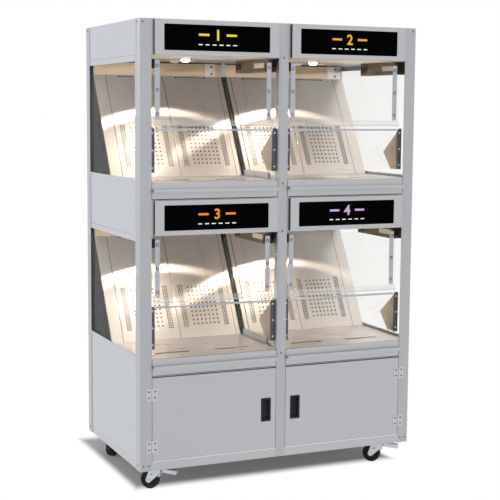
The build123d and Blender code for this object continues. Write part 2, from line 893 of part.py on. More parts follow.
drawer_runners.part.label = "drawer_runners"
export_step(drawer_runners.part, "parts/drawer_runners.step")


# Hinges at the outer edges of the doors
hinge_y = y_front - hinge_drop
knuckle_length = hinge_height / hinge_knuckles


def hinge_half(sign, away, z_middle, first):
    """One half of a butt hinge: its leaf on the post or on the door, and every other knuckle."""
    with BuildPart() as half:
        near = bay_outer + away * (hinge_barrel + hinge_clearance)
        far = bay_outer + away * hinge_leaf
        y_leaf = (y_front - hinge_leaf_thickness, y_front)
        z_leaf = (z_middle - hinge_height / 2, z_middle + hinge_height / 2)
        block(span(sign * near, sign * far), y_leaf, z_leaf)
        for i in range(first, hinge_knuckles, 2):
            centre = z_leaf[0] + (i + 0.5) * knuckle_length
            play = hinge_clearance if first else 0
            length = knuckle_length - play
            with Locations((sign * bay_outer, hinge_y, centre)):
                Cylinder(hinge_barrel, length)
            x_bridge = span(sign * (bay_outer + away * hinge_pin), sign * near)
            block(x_bridge, y_leaf, (centre - length / 2, centre + length / 2))
        with Locations((sign * bay_outer, hinge_y, z_middle)):
            if first:
                Cylinder(hinge_pin + hinge_fit, hinge_height, mode=Mode.SUBTRACT)
            else:
                Cylinder(hinge_pin, hinge_height)
        for height in (-hinge_height / 4, hinge_height / 4):
            x_screw = sign * (near + far) / 2
            y_screw = y_front - hinge_leaf_thickness
            with Locations(Location((x_screw, y_screw, z_middle + height), turn_to_front)):
                add(screw_head.part)
    return half.part


# Hinge leaves on the posts, with the pins
with BuildPart() as hinge_leaves:
    for sign in sides.values():
        for z_middle in hinge_heights:
            add(hinge_half(sign, 1, z_middle, 0))

hinge_leaves.part.label = "hinge_leaves"
export_step(hinge_leaves.part, "parts/hinge_leaves.step")


# Base doors: folded trays with a black recessed pull and their own hinge leaves
for side, sign in sides.items():
    half = bay_half - door_side_gap
    pull_x = sign * door_pull_x
    with BuildPart() as door_panel:
        y_door = (y_front, y_front + door_depth)
        block(bay_span(side, -half, half), y_door, (door_low, door_high))
        x_inside = bay_span(side, sheet - half, half - sheet)
        y_inside = (y_front + sheet, y_front + door_depth - sheet)
        block(x_inside, y_inside, (door_low + sheet, door_high - sheet), mode=Mode.SUBTRACT)
        x_open = bay_span(side, door_hem - half, half - door_hem)
        z_open = (door_low + door_hem, door_high - door_hem)
        y_hem = (y_front + door_depth - sheet, y_front + door_depth)
        block(x_open, y_hem, z_open, mode=Mode.SUBTRACT)
        cut_half_width = door_pull_width / 2 - door_pull_rim_width
        cut_half_height = door_pull_height / 2 - door_pull_rim_width
        x_cut = (pull_x - cut_half_width, pull_x + cut_half_width)
        z_cut = (door_pull_z - cut_half_height, door_pull_z + cut_half_height)
        block(x_cut, (y_front, y_front + sheet), z_cut, mode=Mode.SUBTRACT)
    door_panel.part.label = f"door_panel_{side}"
    export_step(door_panel.part, f"parts/door_panel_{side}.step")

    with BuildPart() as door_pull:
        with BuildSketch(facing_front(pull_x, y_front, door_pull_z)):
            RectangleRounded(door_pull_width, door_pull_height, door_pull_rim_width)
        extrude(amount=door_pull_rim)
        block(x_cut, (y_front, y_front + door_pull_depth), z_cut)
        x_cup = (x_cut[0] + door_pull_wall, x_cut[1] - door_pull_wall)
        y_cup = (y_front - door_pull_rim, y_front + door_pull_depth - door_pull_wall)
        z_cup = (z_cut[0] + door_pull_wall, z_cut[1] - door_pull_wall)
        block(x_cup, y_cup, z_cup, mode=Mode.SUBTRACT)
    door_pull.part.label = f"door_pull_{side}"
    export_step(door_pull.part, f"parts/door_pull_{side}.step")

    with BuildPart() as door_leaves:
        for z_middle in hinge_heights:
            add(hinge_half(sign, -1, z_middle, 1))
    door_leaves.part.label = f"door_leaves_{side}"
    export_step(door_leaves.part, f"parts/door_leaves_{side}.step")


# Casters: swivel axes, and a plane for each whose x runs from its axis to its wheel
caster_place = {}
caster_frame = {}
for name, heading in caster_headings.items():
    end, side = name.split("_")
    y_face, inward = front_rear[end]
    caster_place[name] = (sides[side] * caster_x, y_face + inward * caster_inset)
    trailing = (cos(radians(heading)), sin(radians(heading)), 0)
    caster_frame[name] = Plane(origin=(*caster_place[name], 0), x_dir=trailing, z_dir=(0, 0, 1))

race_low = z_base - caster_plate_thickness - race_height
crown_top = race_low - running_gap
crown_low = crown_top - crown_thickness
nut_high = crown_low - running_gap


# Caster plates: bolted under the base deck, each with its race, kingpin and nut
with BuildPart() as caster_plates:
    for x, y in caster_place.values():
        with Locations((x, y, z_base)):
            plate_align = (Align.CENTER, Align.CENTER, Align.MAX)
            Box(caster_plate_length, caster_plate_width, caster_plate_thickness, align=plate_align)
        with Locations((x, y, race_low)):
            pin_align = (Align.CENTER, Align.CENTER, Align.MIN)
            Cylinder(race_radius, race_height, align=pin_align)
        with Locations((x, y, nut_high - kingpin_nut_height)):
            Cylinder(kingpin_radius, z_base - nut_high, align=pin_align)
            Cylinder(kingpin_nut_radius, kingpin_nut_height, align=pin_align)

caster_plates.part.label = "caster_plates"
export_step(caster_plates.part, "parts/caster_plates.step")


def caster_fork(name):
    """A fork: a crown on the kingpin, two tapered legs, the axle and, in front, a brake pin."""
    frame = caster_frame[name]
    leg_inside = wheel_width / 2 + running_gap + fork_leg
    with BuildPart() as fork:
        with BuildSketch(frame.offset(crown_low)):
            Circle(crown_radius)
            Rectangle(2 * leg_root, 2 * (leg_inside + fork_leg))
            Circle(kingpin_radius + axle_fit, mode=Mode.SUBTRACT)
        extrude(amount=crown_thickness)
        for hand in (-1, 1):
            middle = hand * (leg_inside + fork_leg / 2)
            leg_origin = frame.from_local_coords(Vector(0, middle - fork_leg / 2, 0))
            leg_plane = Plane(origin=leg_origin, x_dir=frame.x_dir, z_dir=frame.y_dir)
            with BuildSketch(leg_plane):
                with Locations((caster_trail, -wheel_radius)):
                    Circle(fork_hub_radius)
                with Locations((0, -(crown_low + crown_thickness / 2))):
                    Rectangle(2 * leg_root, crown_thickness)
                if name.startswith("front"):
                    with Locations((-brake_pin_forward, -brake_pin_height)):
                        Circle(brake_hub_radius)
                make_hull()
                with Locations((caster_trail / 2, -(wheel_radius + crown_low) / 2)):
                    Circle(fork_hole_radius, mode=Mode.SUBTRACT)
            extrude(amount=fork_leg)
        axle_half = leg_inside + fork_leg
        axle_plane = Plane(
            origin=frame.from_local_coords(Vector(caster_trail, -axle_half - fork_leg, wheel_radius)),
            x_dir=frame.x_dir,
            z_dir=frame.y_dir,
        )
        with BuildSketch(axle_plane):
            RegularPolygon(axle_nut, nut_sides)
        extrude(amount=fork_leg)
        with BuildSketch(axle_plane.offset(fork_leg)):
            Circle(axle_radius)
        extrude(amount=2 * axle_half)
        with BuildSketch(axle_plane.offset(fork_leg + 2 * axle_half)):
            RegularPolygon(axle_nut, nut_sides)
        extrude(amount=fork_leg)
        if name.startswith("front"):
            brake_axis = frame.from_local_coords(
                Vector(-brake_pin_forward, -axle_half, brake_pin_height)
            )
            pin_plane = Plane(origin=brake_axis, x_dir=frame.x_dir, z_dir=frame.y_dir)
            with BuildSketch(pin_plane):
                Circle(brake_pin_radius)
            extrude(amount=2 * axle_half)
    return fork.part


def caster_wheel(name):
    """A wheel with a rounded tread, and a hub that runs close to the fork's legs."""
    frame = caster_frame[name]
    hub_half = wheel_width / 2 + fork_leg
    wheel_plane = Plane(
        origin=frame.from_local_coords(Vector(caster_trail, 0, wheel_radius)),
        x_dir=frame.x_dir,
        z_dir=frame.y_dir,
    )
    with BuildPart() as wheel:
        with BuildSketch(wheel_plane.offset(-wheel_width / 2)):
            Circle(wheel_radius)
        extrude(amount=wheel_width)
        fillet(wheel.edges(), wheel_edge)
        with BuildSketch(wheel_plane.offset(-hub_half)):
            Circle(wheel_hub_radius)
        extrude(amount=2 * hub_half)
        with BuildSketch(wheel_plane.offset(-hub_half)):
            Circle(axle_radius + axle_fit)
        extrude(amount=2 * hub_half, mode=Mode.SUBTRACT)
    return wheel.part


def caster_brake(name):
    """A foot lever on the fork's brake pin: a hollow wedge out to the front, a shoe behind."""
    frame = caster_frame[name]
    pin = Vector(-brake_pin_forward, -brake_width / 2, brake_pin_height)
    to_axle = Vector(caster_trail + brake_pin_forward, wheel_radius - brake_pin_height)
    to_axle = to_axle.normalized()
    across = Vector(to_axle.Y, -to_axle.X)
    shoe = to_axle * brake_shoe_drop + across * brake_shoe_side
    lever_plane = Plane(
        origin=frame.from_local_coords(pin), x_dir=frame.x_dir, z_dir=frame.y_dir
    )
    with BuildPart() as brake:
        tip = brake_pin_forward - brake_reach
        rise = brake_top - brake_pin_height
        drop = brake_pin_height - brake_tip
        with BuildSketch(lever_plane):
            Circle(brake_hub_radius)
            with BuildLine():
                Polyline((0, -rise), (tip, -rise), (tip, drop), (0, brake_hub_radius / 2), close=True)
            make_face()
            with Locations((shoe.X, -shoe.Y)):
                Circle(brake_shoe_radius)
            with BuildLine():
                reach = brake_shoe_radius
                Polyline(
                    (-reach, 0), (reach, 0), (shoe.X + reach, -shoe.Y), (shoe.X - reach, -shoe.Y),
                    close=True,
                )
            make_face()
        extrude(amount=brake_width)
        hollow_plane = lever_plane.offset(brake_wall)
        with BuildSketch(hollow_plane):
            with BuildLine():
                inner_tip = tip + brake_wall
                Polyline(
                    (-brake_hub_radius - brake_wall, brake_wall - rise),
                    (inner_tip, brake_wall - rise),
                    (inner_tip, drop + brake_wall),
                    (-brake_hub_radius - brake_wall, drop),
                    close=True,
                )
            make_face()
        extrude(amount=brake_width - 2 * brake_wall, mode=Mode.SUBTRACT)
        with BuildSketch(lever_plane):
            Circle(brake_pin_radius + pivot_fit)
        extrude(amount=brake_width, mode=Mode.SUBTRACT)
    return brake.part


for name in caster_headings:
    with BuildPart() as fork_piece:
        add(caster_fork(name))
    fork_piece.part.label = f"caster_fork_{name}"
    export_step(fork_piece.part, f"parts/caster_fork_{name}.step")

    with BuildPart() as wheel_piece:
        add(caster_wheel(name))
    wheel_piece.part.label = f"caster_wheel_{name}"
    export_step(wheel_piece.part, f"parts/caster_wheel_{name}.step")

    if name.startswith("front"):
        with BuildPart() as brake_piece:
            add(caster_brake(name))
        brake_piece.part.label = f"caster_brake_{name}"
        export_step(brake_piece.part, f"parts/caster_brake_{name}.step")


# Heater units: a sealed casing with a round outlet, on the deck behind each slope
with BuildPart() as heater_units:
    for tier, side in cells:
        x_heater = bay_span(side, -heater_width / 2, heater_width / 2)
        y_heater = (y_front + heater_front, y_front + heater_front + heater_depth)
        with Locations(
            (sides[side] * bay_middle, (y_heater[0] + y_heater[1]) / 2, deck_top[tier])
        ):
            heater_align = (Align.CENTER, Align.CENTER, Align.MIN)
            Box(heater_width, heater_depth, heater_height, align=heater_align)
        casing_edges = heater_units.edges(Select.LAST).filter_by(Axis.Z)
        fillet(casing_edges, heater_corner)
        collar_place = (sides[side] * bay_middle, (y_heater[0] + y_heater[1]) / 2)
        with Locations((*collar_place, deck_top[tier] + heater_height)):
            Cylinder(heater_collar_radius, heater_collar_height, align=heater_align)

heater_units.part.label = "heater_units"
export_step(heater_units.part, "parts/heater_units.step")


# Power inlet: a flanged socket low in the rear wall, with three flat pins
with BuildPart() as power_inlet:
    inlet_rear = y_rear
    block(
        (inlet_x - inlet_width / 2, inlet_x + inlet_width / 2),
        (inlet_rear - sheet, inlet_rear),
        (inlet_z - inlet_height / 2, inlet_z + inlet_height / 2),
    )
    shell_x = inlet_socket_width / 2 + inlet_wall
    shell_z = inlet_socket_height / 2 + inlet_wall
    shell_depth = inlet_socket_depth + inlet_wall
    x_shell = (inlet_x - shell_x, inlet_x + shell_x)
    z_shell = (inlet_z - shell_z, inlet_z + shell_z)
    block(x_shell, (inlet_rear - shell_depth, inlet_rear - sheet), z_shell)
    socket_x = (inlet_x - inlet_socket_width / 2, inlet_x + inlet_socket_width / 2)
    socket_z = (inlet_z - inlet_socket_height / 2, inlet_z + inlet_socket_height / 2)
    socket_y = (inlet_rear - inlet_socket_depth, inlet_rear)
    block(socket_x, socket_y, socket_z, mode=Mode.SUBTRACT)
    pin_thick, pin_tall, pin_long = inlet_pin
    for offset in (-inlet_pin_spread, 0, inlet_pin_spread):
        x_pin = (inlet_x + offset - pin_thick / 2, inlet_x + offset + pin_thick / 2)
        y_pin = (socket_y[0], socket_y[0] + pin_long)
        block(x_pin, y_pin, (inlet_z - pin_tall / 2, inlet_z + pin_tall / 2))

power_inlet.part.label = "power_inlet"
export_step(power_inlet.part, "parts/power_inlet.step")


# Body screws: heads on the posts, on the cover strips and on the rear panels
with BuildPart() as body_screws:
    near_edge = half_width - post_screw_from_edge
    far_edge = bay_outer + post_screw_from_edge
    for side, sign in sides.items():
        for x in (near_edge, far_edge):
            with Locations(Location((sign * x, y_front, z_base + post_screw_from_foot), turn_to_front)):
                add(screw_head.part)
        z_screw = z_top - post_screw_from_top
        with Locations(Location((sign * near_edge, y_front, z_screw), turn_to_front)):
            add(screw_head.part)
        for y_face, inward in front_rear.values():
            for height in (z_screw, z_base + post_screw_from_foot):
                y_screw = y_face + inward * post_flange / 2
                place = (sign * half_width, y_screw, height)
                with Locations(Location(place, turn_to_side[side])):
                    add(screw_head.part)
    for tier in tier_names:
        strip_ends = (
            opening_low[tier] - cover_strip_below + cover_screw_inset,
            opening_high[tier] + cover_strip_above - cover_screw_inset,
        )
        for height in strip_ends:
            with Locations(Location((0, y_front - thin_sheet, height), turn_to_front)):
                add(screw_head.part)

body_screws.part.label = "body_screws"
export_step(body_screws.part, "parts/body_screws.step")
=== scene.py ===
"""The looks of a popcorn staging cabinet: warmed glazed cells over a base cupboard, on casters.

Every length is in metres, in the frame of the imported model: the origin on the floor under the
middle of the cabinet, +Z up and the front looking along -Y.
"""

import json
import logging
import math
from dataclasses import dataclass, field
from enum import Enum
from typing import Iterable, Sequence, Union

import bmesh
import bpy
import numpy as np
from mathutils import Matrix, Vector


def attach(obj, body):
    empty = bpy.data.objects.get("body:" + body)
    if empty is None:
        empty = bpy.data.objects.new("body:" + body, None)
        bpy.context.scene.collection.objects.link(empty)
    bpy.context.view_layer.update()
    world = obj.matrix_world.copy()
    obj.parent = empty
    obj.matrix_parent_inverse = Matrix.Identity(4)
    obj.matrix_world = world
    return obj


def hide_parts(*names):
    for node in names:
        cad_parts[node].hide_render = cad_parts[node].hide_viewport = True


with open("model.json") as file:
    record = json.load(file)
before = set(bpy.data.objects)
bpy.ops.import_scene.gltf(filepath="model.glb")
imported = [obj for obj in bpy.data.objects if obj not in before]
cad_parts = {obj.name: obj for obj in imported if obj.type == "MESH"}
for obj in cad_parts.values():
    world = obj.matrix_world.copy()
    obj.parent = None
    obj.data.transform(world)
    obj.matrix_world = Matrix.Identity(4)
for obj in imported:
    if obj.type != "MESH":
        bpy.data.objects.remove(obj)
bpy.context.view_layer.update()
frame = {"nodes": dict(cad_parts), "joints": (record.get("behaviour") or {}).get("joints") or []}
LOG = logging.getLogger("cabinet")
ROOT = "cabinet"

Colour = tuple[float, float, float]
Pair = tuple[float, float]
Point = tuple[float, float, float]
WHITE: Colour = (1.0, 1.0, 1.0)


class Axis(Enum):
    """A direction of the cabinet's own frame."""

    X = 0
    Y = 1
    Z = 2


class Side(Enum):
    """A side of the cabinet, by its sign along x."""

    LEFT = -1
    RIGHT = 1


class Tier(Enum):
    """A row of cells, by the levels of its tray and its ceiling."""

    LOWER = (0.548, 1.036)
    UPPER = (1.244, 1.732)


class End(Enum):
    """The front or the rear pair of casters."""

    FRONT = "front"
    REAR = "rear"


CELLS = tuple((side, tier) for tier in Tier for side in Side)


class Wall(Enum):
    """Which way a small plate or a fastener looks."""

    FRONT = (0.0, -1.0, 0.0)
    LEFT = (-1.0, 0.0, 0.0)
    UP = (0.0, 0.0, 1.0)
    DOWN = (0.0, 0.0, -1.0)

    def at(self, x: float, depth: float, z: float) -> np.ndarray:
        """A matrix onto this wall, at a depth behind the cabinet's front face."""
        return facing(self.value, (x, PLACES.front + depth, z))


# Shader expressions


class Signal:
    """A value, colour or vector that leaves one socket, with arithmetic that adds Math nodes."""

    def __init__(self, shader: "Shader", socket: bpy.types.NodeSocket) -> None:
        """Wrap a socket.

        Args:
            shader: The material that the socket belongs to.
            socket: The output socket.
        """
        self.shader = shader
        self.socket = socket

    def maths(self, operation: str, first: "Operand", second: "Operand" = 0.0) -> "Signal":
        """Add one Math node.

        Args:
            operation: The node's operation.
            first: Its first value.
            second: Its second value.

        Returns:
            The node's result.
        """
        node = self.shader.node("ShaderNodeMath", {"operation": operation}, {0: first, 1: second})
        return self.shader.signal(node, "Value")

    def through(self, operation: str) -> "Signal":
        """This value alone through a Math node."""
        return self.maths(operation, self)

    def __add__(self, other: "Operand") -> "Signal":
        """Sum."""
        return self.maths("ADD", self, other)

    def __sub__(self, other: "Operand") -> "Signal":
        """Difference."""
        return self.maths("SUBTRACT", self, other)

    def __rsub__(self, other: "Operand") -> "Signal":
        """Difference from a number on the left."""
        return self.maths("SUBTRACT", other, self)

    def __mul__(self, other: "Operand") -> "Signal":
        """Product."""
        return self.maths("MULTIPLY", self, other)

    def __truediv__(self, other: "Operand") -> "Signal":
        """Quotient."""
        return self.maths("DIVIDE", self, other)

    def __gt__(self, other: "Operand") -> "Signal":
        """One where this is the greater, else nought."""
        return self.maths("GREATER_THAN", self, other)

    def __lt__(self, other: "Operand") -> "Signal":
        """One where this is the lesser, else nought."""
        return self.maths("LESS_THAN", self, other)

    def __rtruediv__(self, other: "Operand") -> "Signal":
        """Quotient with a number on the left."""
        return self.maths("DIVIDE", other, self)

    __radd__ = __add__
    __rmul__ = __mul__


Operand = Union[Signal, float, int, tuple]


class Shader:
    """The node tree of one material, world or light, written as expressions."""

    def __init__(
        self,
        name: str,
        owner: bpy.types.World | bpy.types.Light | None = None,
        kind: str = "Material",
    ) -> None:
        """Start an empty node tree.

        Args:
            name: The name of a new material.
            owner: The world or the light to shade instead of one.
            kind: What the tree's output belongs to: Material, World or Light.
        """
        self.material = owner or bpy.data.materials.new(name)
        self.material.use_nodes = True
        self.tree = self.material.node_tree
        self.tree.nodes.clear()
        self.output = self.tree.nodes.new(f"ShaderNodeOutput{kind}")

    def node(
        self,
        kind: str,
        settings: dict | None = None,
        inputs: dict | None = None,
    ) -> bpy.types.Node:
        """Add a node.

        Args:
            kind: The node's type.
            settings: Its properties, set first.
            inputs: Values or signals by socket name or number.

        Returns:
            The new node.
        """
        made = self.tree.nodes.new(kind)
        for key, value in (settings or {}).items():
            setattr(made, key, value)
        for key, value in (inputs or {}).items():
            socket = made.inputs[key]
            if isinstance(value, Signal):
                self.tree.links.new(value.socket, socket)
            elif isinstance(value, tuple) and len(value) == 3 and socket.type == "RGBA":
                socket.default_value = (*value, 1.0)
            else:
                socket.default_value = value
        return made

    def signal(self, node: bpy.types.Node, output: str | int = 0) -> Signal:
        """One output of a node as a signal."""
        return Signal(self, node.outputs[output])

    def place(self, scale: Point = (1.0, 1.0, 1.0)) -> Signal:
        """The point on the object, in metres, stretched by a scale."""
        coordinates = self.signal(self.node("ShaderNodeTexCoord"), "Object")
        mapping = self.node("ShaderNodeMapping", None, {"Vector": coordinates, "Scale": scale})
        return self.signal(mapping)

    def axes(self) -> tuple[Signal, Signal, Signal]:
        """The three coordinates of the point on the object, in metres."""
        split = self.node("ShaderNodeSeparateXYZ", None, {0: self.place()})
        return tuple(self.signal(split, name) for name in "XYZ")

    def noise(self, scale: Point | float, detail: float, rough: float) -> Signal:
        """Smooth noise from nought to one.

        Args:
            scale: Bumps per metre, the same on all axes or one for each.
            detail: Octaves.
            rough: How strong the finer octaves are.

        Returns:
            The noise's height.
        """
        place = self.place(scale if isinstance(scale, tuple) else (scale, scale, scale))
        inputs = {"Vector": place, "Scale": 1.0, "Detail": detail, "Roughness": rough}
        return self.signal(self.node("ShaderNodeTexNoise", None, inputs), "Fac")

    def stretch(self, value: Signal, low: float, high: float) -> Signal:
        """A value from nought to one, carried to a new range and kept inside it."""
        inputs = {"Value": value, "To Min": low, "To Max": high}
        return self.signal(self.node("ShaderNodeMapRange", {"clamp": True}, inputs))

    def mix(self, factor: Operand, first: Operand, second: Operand) -> Signal:
        """One colour turned towards another.

        Args:
            factor: How far, from nought to one.
            first: The colour at nought.
            second: The colour at one.

        Returns:
            The mixed colour.
        """
        settings = {"data_type": "RGBA"}
        mixer = self.node("ShaderNodeMix", settings, {0: factor, 6: first, 7: second})
        return self.signal(mixer, 2)

    def bump(self, height: Signal, strength: float, distance: float) -> Signal:
        """A normal tilted by a height.

        Args:
            height: The height, from nought to one.
            strength: How much of it shows.
            distance: The height of one, in metres.

        Returns:
            The normal.
        """
        inputs = {"Height": height, "Strength": strength, "Distance": distance}
        return self.signal(self.node("ShaderNodeBump", None, inputs))

    def rays(self, *kinds: str) -> Signal:
        """One or more where the ray is of one of these kinds, else nought."""
        path = self.node("ShaderNodeLightPath")
        flags = [self.signal(path, f"Is {kind} Ray") for kind in kinds]
        return sum(flags[1:], flags[0])

    def blend(
        self, factor: Signal, first: bpy.types.Node, second: bpy.types.Node
    ) -> bpy.types.Node:
        """One surface turned towards another.

        Args:
            factor: How far; it is kept from nought to one.
            first: The surface at nought.
            second: The surface at one.

        Returns:
            The mixed surface.
        """
        inputs = {0: factor, 1: self.signal(first), 2: self.signal(second)}
        return self.node("ShaderNodeMixShader", None, inputs)

    def close(self, surface: bpy.types.Node) -> None:
        """End the tree with a surface."""
        self.tree.links.new(surface.outputs[0], self.output.inputs["Surface"])

    def principled(self, inputs: dict) -> bpy.types.Material:
        """Close the material with a Principled surface and hand it over."""
        self.close(self.node("ShaderNodeBsdfPrincipled", None, inputs))
        return self.material


# Finishes


@dataclass(frozen=True)
class BrushedSteel:
    """Stainless sheet with a directional grain, faint handling marks and satin gloss."""

    name: str
    grain: Axis
    colour: Colour = (0.385, 0.39, 0.405)
    tint: float = 0.05
    gloss: float = 0.30
    dull: float = 0.44
    metal: float = 0.85
    grain_pitch: float = 0.0011
    grain_length: float = 0.06
    streak_pitch: float = 0.014
    streak_length: float = 0.55
    smear: float = 3.2
    relief: float = 0.00008

    def stretched(self, pitch: float, length: float) -> Point:
        """Noise scale for streaks of one width and length along the grain."""
        scale = [1.0 / pitch] * 3
        scale[self.grain.value] = 1.0 / length
        return (scale[0], scale[1], scale[2])

    def sheet(self, shader: Shader) -> tuple[Signal, Signal, Signal]:
        """The brushed surface: grain, broad streaks and smears.

        Args:
            shader: The material in hand.

        Returns:
            The height of its grain, its colour and its roughness.
        """
        grain = shader.noise(self.stretched(self.grain_pitch, self.grain_length), 2.0, 0.6)
        streak = shader.noise(self.stretched(self.streak_pitch, self.streak_length), 3.0, 0.55)
        smear = shader.noise(self.smear, 4.0, 0.6)
        tone = grain * 0.35 + streak * 0.4 + smear * 0.25
        dark = tuple(c * (1.0 - self.tint) for c in self.colour)
        light = tuple(min(1.0, c * (1.0 + self.tint)) for c in self.colour)
        colour = shader.mix(shader.stretch(tone, -0.6, 1.6), dark, light)
        gloss = shader.stretch(smear * 0.5 + streak * 0.3 + grain * 0.2, self.gloss, self.dull)
        return grain, colour, gloss

    def dressed(self, shader: Shader, grain: Signal, colour: Signal) -> tuple[Signal, Signal]:
        """What shows of the sheet in the end, which other kinds of sheet change.

        Args:
            shader: The material in hand.
            grain: The height of the sheet's grain.
            colour: The sheet's colour.

        Returns:
            The colour and the normal, tilted by a shallow relief along the grain.
        """
        return colour, shader.bump(grain, 0.35, self.relief)

    def material(self) -> bpy.types.Material:
        """Build the material from the sheet and what shows of it."""
        shader = Shader(self.name)
        grain, colour, gloss = self.sheet(shader)
        colour, normal = self.dressed(shader, grain, colour)
        surface = {"Base Color": colour, "Metallic": self.metal, "Roughness": gloss}
        return shader.principled(surface | {"Normal": normal})


@dataclass(frozen=True)
class BracketSteel(BrushedSteel):
    """A bracket whose front strip is dark with painted shade, and whose wing behind it is brighter
    and warm with painted lamplight.
    """

    border: float = -0.3262
    # The wing's warm colour is painted lamplight from inside the cell.
    wing: Colour = (0.34, 0.285, 0.24)

    def dressed(self, shader: Shader, grain: Signal, colour: Signal) -> tuple[Signal, Signal]:
        """The sheet's dark colour, painted shade, before the border; the wing's warm colour,
        painted lamplight, behind it.
        """
        colour, normal = super().dressed(shader, grain, colour)
        return shader.mix(shader.axes()[1] > self.border, colour, self.wing), normal


@dataclass(frozen=True)
class PerforatedSteel(BrushedSteel):
    """Brushed sheet pierced by fine round holes in staggered rows, drawn as dark dots of painted
    shade seen through them.
    """

    pitch: float = 0.008
    hole: float = 0.2
    # depth: how dark the holes are drawn, a share of the sheet's colour: painted shade.
    depth: float = 0.35
    dip: float = 0.0004

    def dots(self, shader: Shader) -> Signal:
        """One inside a hole, nought outside.

        Each of two square lattices, half a pitch apart, gives the distance from its cell's
        centre; a point is in a hole where either distance is under the hole's share.

        Args:
            shader: The material in hand.

        Returns:
            The mask.
        """
        x, y, _ = shader.axes()
        masks = []
        for start in (0.0, 0.5):
            across = (x / self.pitch + start).through("FRACT") - 0.5
            along = (y / self.pitch + start).through("FRACT") - 0.5
            masks.append(self.hole**2 > across * across + along * along)
        return masks[0].maths("MAXIMUM", masks[0], masks[1])

    def dressed(self, shader: Shader, grain: Signal, colour: Signal) -> tuple[Signal, Signal]:
        """The holes' painted shade darkens the brushed sheet, and the holes dip its surface."""
        holes = self.dots(shader)
        # The holes' colour: painted shade seen through them.
        inside = tuple(c * self.depth for c in self.colour)
        return shader.mix(holes, colour, inside), shader.bump(grain - holes * 0.6, 0.3, self.dip)


@dataclass(frozen=True)
class PaintedSheen:
    """A cut edge or a bend of clear plastic, made milky with a painted highlight and a painted
    reflection where it would catch light.
    """

    name: str
    colour: Colour
    veil: float

    def material(self) -> bpy.types.Material:
        """Build the material: a whitish veil of painted reflection, thicker and thinner along its
        length.
        """
        shader = Shader(self.name)
        cloud = shader.noise((22.0, 60.0, 60.0), 3.0, 0.55)
        return shader.principled(
            {
                "Base Color": self.colour,
                "Roughness": shader.stretch(cloud, 0.12, 0.4),
                "Alpha": shader.stretch(cloud, self.veil * 0.6, min(1.0, self.veil * 1.4)),
            }
        )


@dataclass(frozen=True)
class ClearSheet:
    """Glass or clear plastic: thin, polished and a little dusty."""

    name: str
    colour: Colour = (0.97, 0.985, 0.98)
    bend: float = 1.45
    haze: float = 0.015
    dust: float = 0.03
    unbent: float = 0.94
    dust_colour: Colour = (0.85, 0.86, 0.87)

    def material(self) -> bpy.types.Material:
        """Build the material: lamplight passes it unbent, and most of what is seen through it."""
        shader = Shader(self.name)
        cloud = shader.noise(9.0, 5.0, 0.65)
        glass = shader.node(
            "ShaderNodeBsdfPrincipled",
            None,
            {
                "Base Color": self.colour,
                "Roughness": shader.stretch(cloud, self.haze * 0.4, self.haze * 1.6),
                "IOR": self.bend,
                "Transmission Weight": 1.0,
            },
        )
        dust = shader.node("ShaderNodeBsdfDiffuse", None, {"Color": self.dust_colour})
        clear = shader.node("ShaderNodeBsdfTransparent", None, {"Color": self.colour})
        dusty = shader.blend(shader.stretch(cloud, 0.0, self.dust * 2), glass, dust)
        passing = shader.stretch(shader.rays("Shadow", "Diffuse") + self.unbent, 0.0, 1.0)
        shader.close(shader.blend(passing, dusty, clear))
        return shader.material


@dataclass(frozen=True)
class Moulded:
    """Paint, plastic or rubber: an even colour broken by fine speckle, dust and worn patches."""

    name: str
    colour: Colour
    worn: Colour
    gloss: float = 0.35
    dull: float = 0.55
    wear: float = 0.25
    speck: float = 900.0
    relief: float = 0.00006
    metal: float = 0.0
    shine: float = 0.5

    def material(self) -> bpy.types.Material:
        """Build the material: speckle gives the grain, slow noise gives dust and wear."""
        shader = Shader(self.name)
        grain = shader.noise(self.speck, 3.0, 0.6)
        patch = shader.noise(26.0, 5.0, 0.62)
        worn = shader.stretch(patch * 1.6 - 0.45, 0.0, self.wear)
        return shader.principled(
            {
                "Base Color": shader.mix(worn, self.colour, self.worn),
                "Metallic": self.metal,
                "Roughness": shader.stretch(patch * 0.6 + grain * 0.4, self.gloss, self.dull),
                "Specular IOR Level": self.shine,
                "Normal": shader.bump(grain, 0.4, self.relief),
            }
        )


@dataclass(frozen=True)
class Glowing:
    """A lit lens, or a print with a faint painted glow: its own light over a moulded surface."""

    name: str
    colour: Colour
    power: float

    def material(self) -> bpy.types.Material:
        """Build the material: a fine prism pattern modulates the light."""
        shader = Shader(self.name)
        prism = shader.noise(420.0, 1.0, 0.5)
        edge = tuple(c * 0.86 for c in self.colour)
        return shader.principled(
            {
                "Base Color": self.colour,
                "Roughness": shader.stretch(prism, 0.25, 0.5),
                "Emission Color": shader.mix(prism, edge, self.colour),
                "Emission Strength": self.power,
            }
        )


STEEL_UPRIGHT = BrushedSteel("steel_upright_grain", Axis.Z, colour=(0.45, 0.455, 0.475))
STEEL_DOOR = BrushedSteel("steel_door", Axis.X, colour=(0.495, 0.50, 0.53))
STEEL_ACROSS = BrushedSteel("steel_across_grain", Axis.X, colour=(0.50, 0.505, 0.525))
STEEL_SIDE = BrushedSteel("steel_wall", Axis.Z, colour=(0.50, 0.515, 0.55), gloss=0.26, dull=0.38)
# Brighter and warmer than the outer steel: painted warm lamplight on the cells' stainless lining.
STEEL_LINING_PAINTED_LIGHT = BrushedSteel(
    "steel_cell_lining", Axis.X, colour=(0.84, 0.77, 0.715), gloss=0.36, dull=0.44, metal=0.97
)
STEEL_WARM = BrushedSteel(
    "steel_header", Axis.X, colour=(0.74, 0.55, 0.36), gloss=0.24, dull=0.36, metal=0.75
)
